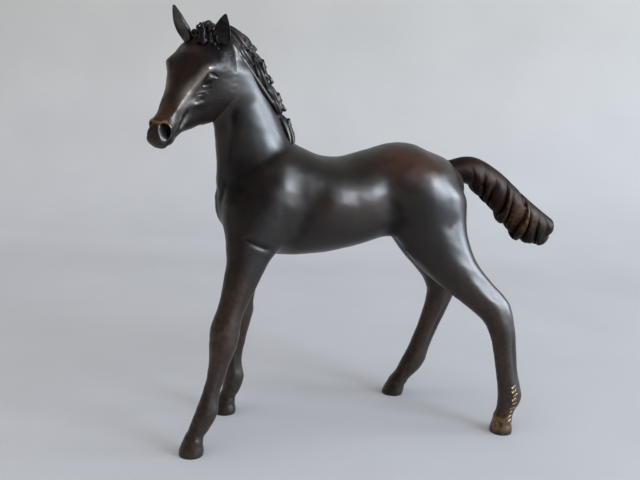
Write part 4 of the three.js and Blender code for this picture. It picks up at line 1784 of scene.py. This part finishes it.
@dataclass(frozen=True)
class Mane:
    """Locks in overlapping pairs along the crest, wide locks draped over both sides of the neck with curls
    on them, and a smooth strip along their lower edge. Depths are shares of the neck's radius."""

    lobes: int = 4
    start: float = 1.08  # place along the neck, 0 at its root and 1 at the poll
    end: float = 0.3
    thickness: float = 3.5
    thinning: float = 0.03  # how much thinner each large lock is than the one before, as a share of the first
    # along a large lock: lobes down the neck, degrees from the crest, depth
    swing: tuple[Row, ...] = ((0.05, 4, 0.9), (0.4, 14, 1.02), (0.85, 22, 1.04), (1.2, 30, 0.94))
    grain: float = 0.3
    # place along the neck and degrees from the crest, four times, then the thickness
    drapes: tuple[Row, ...] = (
        (1.13, 8, 1.06, 24, 0.98, 30, 0.90, 12, 2.7),
        (1.12, 36, 1.05, 50, 0.96, 54, 0.88, 34, 2.5),
        (0.99, 14, 0.93, 30, 0.86, 34, 0.80, 14, 2.5),
        (1.00, 62, 0.93, 68, 0.86, 64, 0.80, 50, 1.9),
        (0.83, 8, 0.76, 24, 0.69, 30, 0.63, 12, 2.5),
        (0.81, 36, 0.74, 48, 0.68, 46, 0.62, 30, 2.1),
        (0.63, 4, 0.56, 18, 0.50, 24, 0.45, 8, 2.5),
        (0.60, 30, 0.55, 38, 0.50, 34, 0.46, 22, 1.6),
        (0.46, 4, 0.41, 16, 0.36, 20, 0.31, 6, 2.0),
    )
    drape_depth: Row = (1.02, 1.09, 1.08, 1.0)
    # middle by place and degrees, depth, size, start in degrees
    curls: tuple[Row, ...] = (
        (1.05, 30, 1.22, 2.5, 60),
        (0.975, 44, 1.24, 2.3, 150),
        (0.90, 48, 1.22, 2.2, 200),
        (0.88, 18, 1.28, 2.0, 320),
        (0.76, 22, 1.28, 2.4, 80),
        (0.70, 36, 1.22, 2.1, 230),
        (0.66, 14, 1.27, 1.9, 340),
        (0.56, 16, 1.26, 2.4, 70),
        (0.49, 16, 1.22, 1.9, 240),
        (0.41, 14, 1.2, 1.9, 60),
        (0.35, 10, 1.15, 1.5, 250),
    )
    curl_scale: Row = (0.0125, 5.2)  # place along the neck, and degrees, for 1 mm of a curl
    curl_lift: float = 0.05  # how much its inner end lies higher
    curl_thickness: float = 0.85
    # the strip: place and degrees
    edge: tuple[Row, ...] = (
        (1.08, 76),
        (1.0, 82),
        (0.93, 80),
        (0.86, 76),
        (0.79, 71),
        (0.71, 64),
        (0.63, 54),
        (0.56, 44),
        (0.49, 32),
    )
    edge_depth: Row = (1.04, 1.06)  # from its upper to its lower end
    edge_thickness: float = 1.0
    # a painted highlight on the top of the mane
    pale: tuple[Relief, ...] = (Mound((-60, 12, 195), (8, 8, 7), 0.14),)
    beyond: float = 82.0  # length that a place past 1 is a share of
    sinking: float = 3.8  # how fast the depth shrinks there

    def point(self, t: Array, degrees: Array, depth: Array | float) -> Array:
        """Points of the neck's surface: centre + (front * cos(a) * lead + side * sin(a) * half) * depth.
        Past the neck's end they run straight on, and their depth shrinks.

        Args:
            t: places along the neck.
            degrees: angles from the crest.
            depth: shares of the neck's radius.

        Returns:
            One point for each place.
        """
        t = np.asarray(t, float)
        past = np.maximum(t - 1, 0)
        cut = NECK.section(np.minimum(t, 1))
        points = cut.at(np.radians(degrees), depth * (1 - self.sinking * past))
        return points + cut.along * (self.beyond * past)[..., None]

    def locks(self) -> list[Shell]:
        """The pairs of large locks along the crest, each swinging out and down.

        Returns:
            A surface for each lock.
        """
        lobe = (self.start - self.end) / self.lobes
        down, degrees, depth = np.array(self.swing).T
        made = []
        for i in range(self.lobes * 2):
            side = 1 if i % 2 else -1
            path = self.point(self.start - i / 2 * lobe - down * lobe, side * degrees, depth)
            thickness = self.thickness * (1 - self.thinning * i)
            lock = Lock(rows_of(path), thickness, grooves=7, groove_depth=0.08, turn=side)
            made.append(lock.surface(42, 10))
        return made

    def draped(self, side: Side) -> list[Shell]:
        """The wide locks draped over one side of the neck.

        Args:
            side: the side.

        Returns:
            A surface for each lock.
        """
        made = []
        for *places, thickness in self.drapes:
            t, degrees = np.reshape(places, (4, 2)).T
            path = self.point(t, side.value * degrees, np.array(self.drape_depth))
            lock = Lock(rows_of(path), thickness, groove_depth=0.12, turn=0.6 * side.value)
            made.append(lock.surface(40, 10))
        return made

    def curled(self, side: Side) -> list[Shell]:
        """The curls on one side, laid on the locks.

        Args:
            side: the side.

        Returns:
            A surface for each curl.
        """
        down_scale, round_scale = self.curl_scale
        made = []
        for t, degrees, depth, size, start in self.curls:
            along, aside, lift = Curl(size, start, 400, 0.3).path(12)
            angles = side.value * (degrees + round_scale * aside)
            path = self.point(t + down_scale * along, angles, depth + self.curl_lift * lift)
            lock = Lock(rows_of(path), self.curl_thickness, (0.6, 1, 1, 0.6), grooves=3)
            made.append(lock.surface(18, 4))
        return made

    def strip(self, side: Side) -> Shell:
        """The smooth strip along one side, from behind the ear to the crest.

        Args:
            side: the side.

        Returns:
            Its surface.
        """
        t, degrees = np.array(self.edge).T
        path = self.point(t, side.value * degrees, np.linspace(*self.edge_depth, len(t)))
        shape = (0.9, 1, 1, 0.7)
        lock = Lock(rows_of(path), self.edge_thickness, shape, grooves=3, groove_depth=0.06, turn=0.5)
        return lock.surface(24, 8)

    def build(self, finish: Material) -> bpy.types.Object:
        """Makes the locks one piece and dresses it.

        Args:
            finish: the piece's material.

        Returns:
            The piece.
        """
        shells = self.locks()
        for side in (Side.LEFT, Side.RIGHT):
            shells += self.draped(side) + self.curled(side) + [self.strip(side)]
        shell = fused(shells, self.grain).eased(2)
        wear = Wear(pale=self.pale, depth=0.35, rubbed=0.12)
        return settled(piece("foal_mane", shell, finish, wear.on(shell, shell.points)))


@dataclass(frozen=True)
class Tail:
    """The tail: smooth at its root and along its ridge, with a few full strands of unequal width that hang
    down both sides aslant and end in steps underneath."""

    # places of the furrows along the underside
    furrows: Row = (-0.1, 0.2, 0.35, 0.45, 0.52, 0.64, 0.71, 0.83, 0.89, 0.99, 1.07, 1.3)
    depth: float = 2.9
    hang: float = 0.17  # how much further towards the tip a strand lies underneath than on the ridge
    wander: Row = (0.01, 1.9, 3.7)  # how far a furrow strays, and its waves round and along the tail
    fullness: Row = (0.82, 0.3, 2.6)  # a strand's mean, its swing, and the radians from strand to strand
    fine_depth: float = 0.12
    # the strands grow over these shares of the way from the ridge to the underside, and along the tail
    round_fade: Row = (0.02, 0.85)
    root_fade: Row = (0.16, 0.5)
    bumps: tuple[Relief, ...] = (
        Mound((73, 5, 137), (6, 4, 4), 0.7, 20),  # root
        Fold(((74, 3, 130), (77, 6.5, 132), (82, 7.5, 131)), 1.4, -0.7),  # furrow below it
        Fold(((104, 0, 127), (104.5, 4, 126), (106, 7.5, 120)), 1.3, -0.8, fade=0.1),  # notch in the ridge
    )
    red: tuple[Relief, ...] = (Mound((88, 0, 134), (30, 12, 12), 0.25, 38),)
    gold: tuple[Relief, ...] = (Mound((104, 7, 114), (12, 5, 8), 0.1),)

    def relief(self, _: Array, t: Array, angle: Array) -> Array:
        """Strands between furrows: depth * (full * |sin(pi * p^0.8)|^0.85 - 0.6), where p is the share of a
        strand's width that lies before a point and full differs from strand to strand by a cosine. They
        fade towards the ridge and the root, and finer grooves run along each.

        Args:
            _: the points, which the strands don't depend on.
            t: places along the tail.
            angle: angles from the underside, in radians.

        Returns:
            A height for each point.
        """
        r = np.abs((angle + math.pi) % (2 * math.pi) - math.pi) / math.pi
        size, waves_round, waves_along = self.wander
        wander = size * np.sin(2 * math.pi * (waves_round * r + waves_along * t))
        place = np.interp(t + self.hang * r + wander, self.furrows, np.arange(len(self.furrows)))
        mean, swing, turn = self.fullness
        full = mean + swing * np.cos(turn * np.floor(place))
        share = rise(1 - r, *self.round_fade) * rise(t, *self.root_fade)
        strand = full * np.abs(np.sin(math.pi * (place % 1) ** 0.8)) ** 0.85
        fine = self.fine_depth * share * np.cos(2 * math.pi * (3 * place + 0.4 * np.sin(5 * r)))
        return fine + self.depth * share * (strand - 0.6)

    def build(self, finish: Material) -> bpy.types.Object:
        """Makes the piece and dresses it.

        Args:
            finish: the piece's material.

        Returns:
            The piece.
        """
        shell = loft(TAIL, 200, 54, dome=0.85, relief=self.relief)
        shell = shell.raised(height_of(self.bumps, shell.points))
        wear = Wear(self.red, self.gold, depth=0.5, passes=40, rubbed=0.06)
        return settled(piece("foal_tail", shell, finish, wear.on(shell, shell.points)))


@dataclass(frozen=True)
class Inscription:
    """Rows of short shallow strokes on the outside of the near hind pastern, which form no letters."""

    rows: int = 9
    top: float = 27.5
    step: float = 2.35
    radius: float = 0.22
    start: float = 100.0  # degrees round the leg of a row's first stroke
    spacing: float = 6.5  # degrees from one stroke to the next
    drop: float = 0.35  # how much lower the next stroke lies
    stagger: float = 3.0  # degrees by which rows are set against each other
    least: Row = (0.6, -6, -3)  # a stroke's length, and its slant and bend in degrees
    most: Row = (1.5, 6, 3)
    seed: int = 5

    def strokes(self) -> list[Shell]:
        """The strokes: small arcs laid on the leg's surface, by height and by angle round the leg, in rows
        of three or four that vary in length and slant.

        Returns:
            A surface for each stroke.
        """
        random = np.random.default_rng(self.seed)
        share = np.linspace(0, 1, 4)
        made = []
        for row in range(self.rows):
            for k in range(3 + row % 2):
                length, slant, bend = random.uniform(self.least, self.most)
                z = self.top - self.step * row - self.drop * k + length * (share - 0.5)
                degrees = self.start - self.spacing * k + self.stagger * (row % 3) + slant * (share - 0.5)
                path = self.on_leg(z, degrees + bend * np.sin(math.pi * share))
                made.append(Lock(rows_of(path), self.radius, (0.6, 1, 1, 0.6), grooves=3).surface(10, 3))
        return made

    def on_leg(self, z: Array, degrees: Array) -> Array:
        """Points of the near hind leg's surface, on its outer side.

        Args:
            z: their heights.
            degrees: their angles from the leg's front.

        Returns:
            One point for each height.
        """
        heights = np.array([row[2] for row in HIND_LEFT.stations], float)
        shares = np.linspace(0, 1, len(heights))
        t = np.interp(-z, -heights, shares)
        return HIND_LEFT.section(t).at(np.radians(-degrees))

    def build(self, finish: Material) -> bpy.types.Object:
        """Makes the strokes one piece and dresses it."""
        return settled(piece("inscription_strokes", together(self.strokes()), finish))


# Studio

VIEW_TURN = math.atan2(-0.2932, 0.956)  # the camera's own right hand, as a turn from +X about Z


@dataclass(frozen=True)
class Sweep:
    """A pale floor that curves up into a backdrop: straight, a quarter circle, then straight up."""

    width: float = 6.0
    front: float = -3.0
    behind: float = 0.62
    radius: float = 0.25
    height: float = 3.0
    arc_points: int = 24

    def build(self, finish: Material) -> bpy.types.Object:
        """Makes the sheet from its profile, carried straight across, and stages it.

        Args:
            finish: its material.

        Returns:
            The sheet.
        """
        turn = np.linspace(0, math.pi / 2, self.arc_points)
        arc = self.behind - self.radius + self.radius * np.sin(turn)
        y = np.concatenate([[self.front], arc, [self.behind]])
        z = np.concatenate([[0], self.radius * (1 - np.cos(turn)), [self.height]])
        x = np.array([-1, 1]) * self.width / 2
        grid = np.stack(np.broadcast_arrays(x[None, :], y[:, None], z[:, None]), -1)
        turned_grid = grid @ turned("Z", math.degrees(VIEW_TURN)).T
        index = np.arange(grid.shape[0] * 2).reshape(-1, 2)
        quads = np.stack([index[:-1, 0], index[:-1, 1], index[1:, 1], index[1:, 0]], -1)
        mesh = mesh_of(Shell(turned_grid.reshape(-1, 3), quads, np.zeros((0, 3), int)), "sweep")
        mesh.materials.append(finish)
        made = bpy.data.objects.new("sweep", mesh)
        bpy.context.scene.collection.objects.link(made)
        return made


@dataclass(frozen=True)
class Camera:
    """The camera at the photograph's viewing angle."""

    place: Row = (-132.2, -394.8, 185.0)
    pitch: float = 11.3
    roll: float = 2.26
    lens: float = 45.0
    sensor: float = 36.0

    def build(self) -> bpy.types.Object:
        """Makes the camera and makes it the scene's own.

        Returns:
            The camera.
        """
        pitch, roll = math.radians(self.pitch), math.radians(self.roll)
        ahead = np.array([-math.sin(VIEW_TURN), math.cos(VIEW_TURN), 0])
        right = np.array([math.cos(VIEW_TURN), math.sin(VIEW_TURN), 0])
        top = np.array([0, 0, 1])
        view = ahead * math.cos(pitch) - top * math.sin(pitch)
        up = top * math.cos(pitch) + ahead * math.sin(pitch)
        across = right * math.cos(roll) + up * math.sin(roll)
        upright = up * math.cos(roll) - right * math.sin(roll)
        matrix = Matrix(np.column_stack([across, upright, -view]).tolist()).to_4x4()
        matrix.translation = ((np.array(self.place) - CASTING_MIDDLE) * METRES).tolist()
        data = bpy.data.cameras.new("camera")
        data.lens, data.sensor_width = self.lens, self.sensor
        data.clip_start, data.clip_end = 0.01, 20
        made = bpy.data.objects.new("camera", data)
        bpy.context.scene.collection.objects.link(made)
        made.matrix_world = matrix
        bpy.context.scene.camera = made
        return made


@dataclass(frozen=True)
class SoftBox:
    """A soft light that faces the foal from a bearing, in degrees from -Y towards +X, and an elevation. Its
    power is given apart for what polished bronze mirrors and for what falls on everything."""

    name: str
    bearing: float
    elevation: float
    width: float
    height: float
    mirrored: float
    spread: float
    colour: Colour
    distance: float = 1.2
    target: Row = (0, 0, 0.12)

    def build(self) -> None:
        """Makes the light's two halves."""
        bearing, elevation = math.radians(self.bearing), math.radians(self.elevation)
        level = math.cos(elevation)
        away = np.array([math.sin(bearing) * level, -math.cos(bearing) * level, math.sin(elevation)])
        for name, power in (("mirrored", self.mirrored), ("spread", self.spread)):
            light = bpy.data.lights.new(f"{self.name}_{name}", "AREA")
            light.shape, light.size, light.size_y = "RECTANGLE", self.width, self.height
            light.energy, light.color = power, self.colour
            made = bpy.data.objects.new(light.name, light)
            made.visible_diffuse, made.visible_glossy = name == "spread", name == "mirrored"
            bpy.context.scene.collection.objects.link(made)
            made.location = np.array(self.target) + away * self.distance
            made.rotation_euler = (math.pi / 2 - elevation, 0, bearing)


LIGHTS = (
    SoftBox("window", 43, 22, 0.46, 0.52, 34, 7, (0.76, 0.88, 1.0)),
    SoftBox("side_window", 73, 14, 0.42, 0.5, 20, 5, (0.74, 0.87, 1.0)),
    SoftBox("left_wall", -82, 12, 0.8, 0.8, 0.5, 1.4, (0.9, 0.95, 1.0)),
    SoftBox("ceiling", 0, 82, 1.2, 1.2, 0.7, 2.0, (1.0, 0.95, 0.9)),
)
ROOM = (1.0, 0.985, 0.96)
ROOM_LIGHT = 1.07  # the room's light as it falls on the sheet and the foal
ROOM_GLOSS = 0.03  # its darkness as polished bronze mirrors it


def light_the_room() -> None:
    """Sets the plain soft light of the room."""
    world = bpy.data.worlds.new("room")
    world.use_nodes = True
    tree = world.node_tree
    background = tree.nodes["Background"]
    background.inputs["Color"].default_value = (*ROOM, 1)
    strength = tree.nodes.new("ShaderNodeMapRange")
    strength.inputs["To Min"].default_value = ROOM_LIGHT
    strength.inputs["To Max"].default_value = ROOM_GLOSS
    mirrored = tree.nodes.new("ShaderNodeLightPath").outputs["Is Glossy Ray"]
    tree.links.new(mirrored, strength.inputs["Value"])
    tree.links.new(strength.outputs[0], background.inputs["Strength"])
    bpy.context.scene.world = world
    bpy.context.scene.view_settings.view_transform = "Standard"
    for light in LIGHTS:
        light.build()


def main() -> None:
    logging.basicConfig(level=logging.INFO, format="%(message)s")
    Camera().build()
    patina = Patina().material()
    hair = HAIR.material()
    for part in (Body(), Head(), Ears()):
        part.build(patina)
    for part in (Forelock(), Mane()):
        part.build(hair)
    Tail().build(DULL_HAIR.material())
    Inscription().build(BareBronze().material())
    Sweep().build(Paper().material())
    light_the_room()


if __name__ == "__main__":
    main()
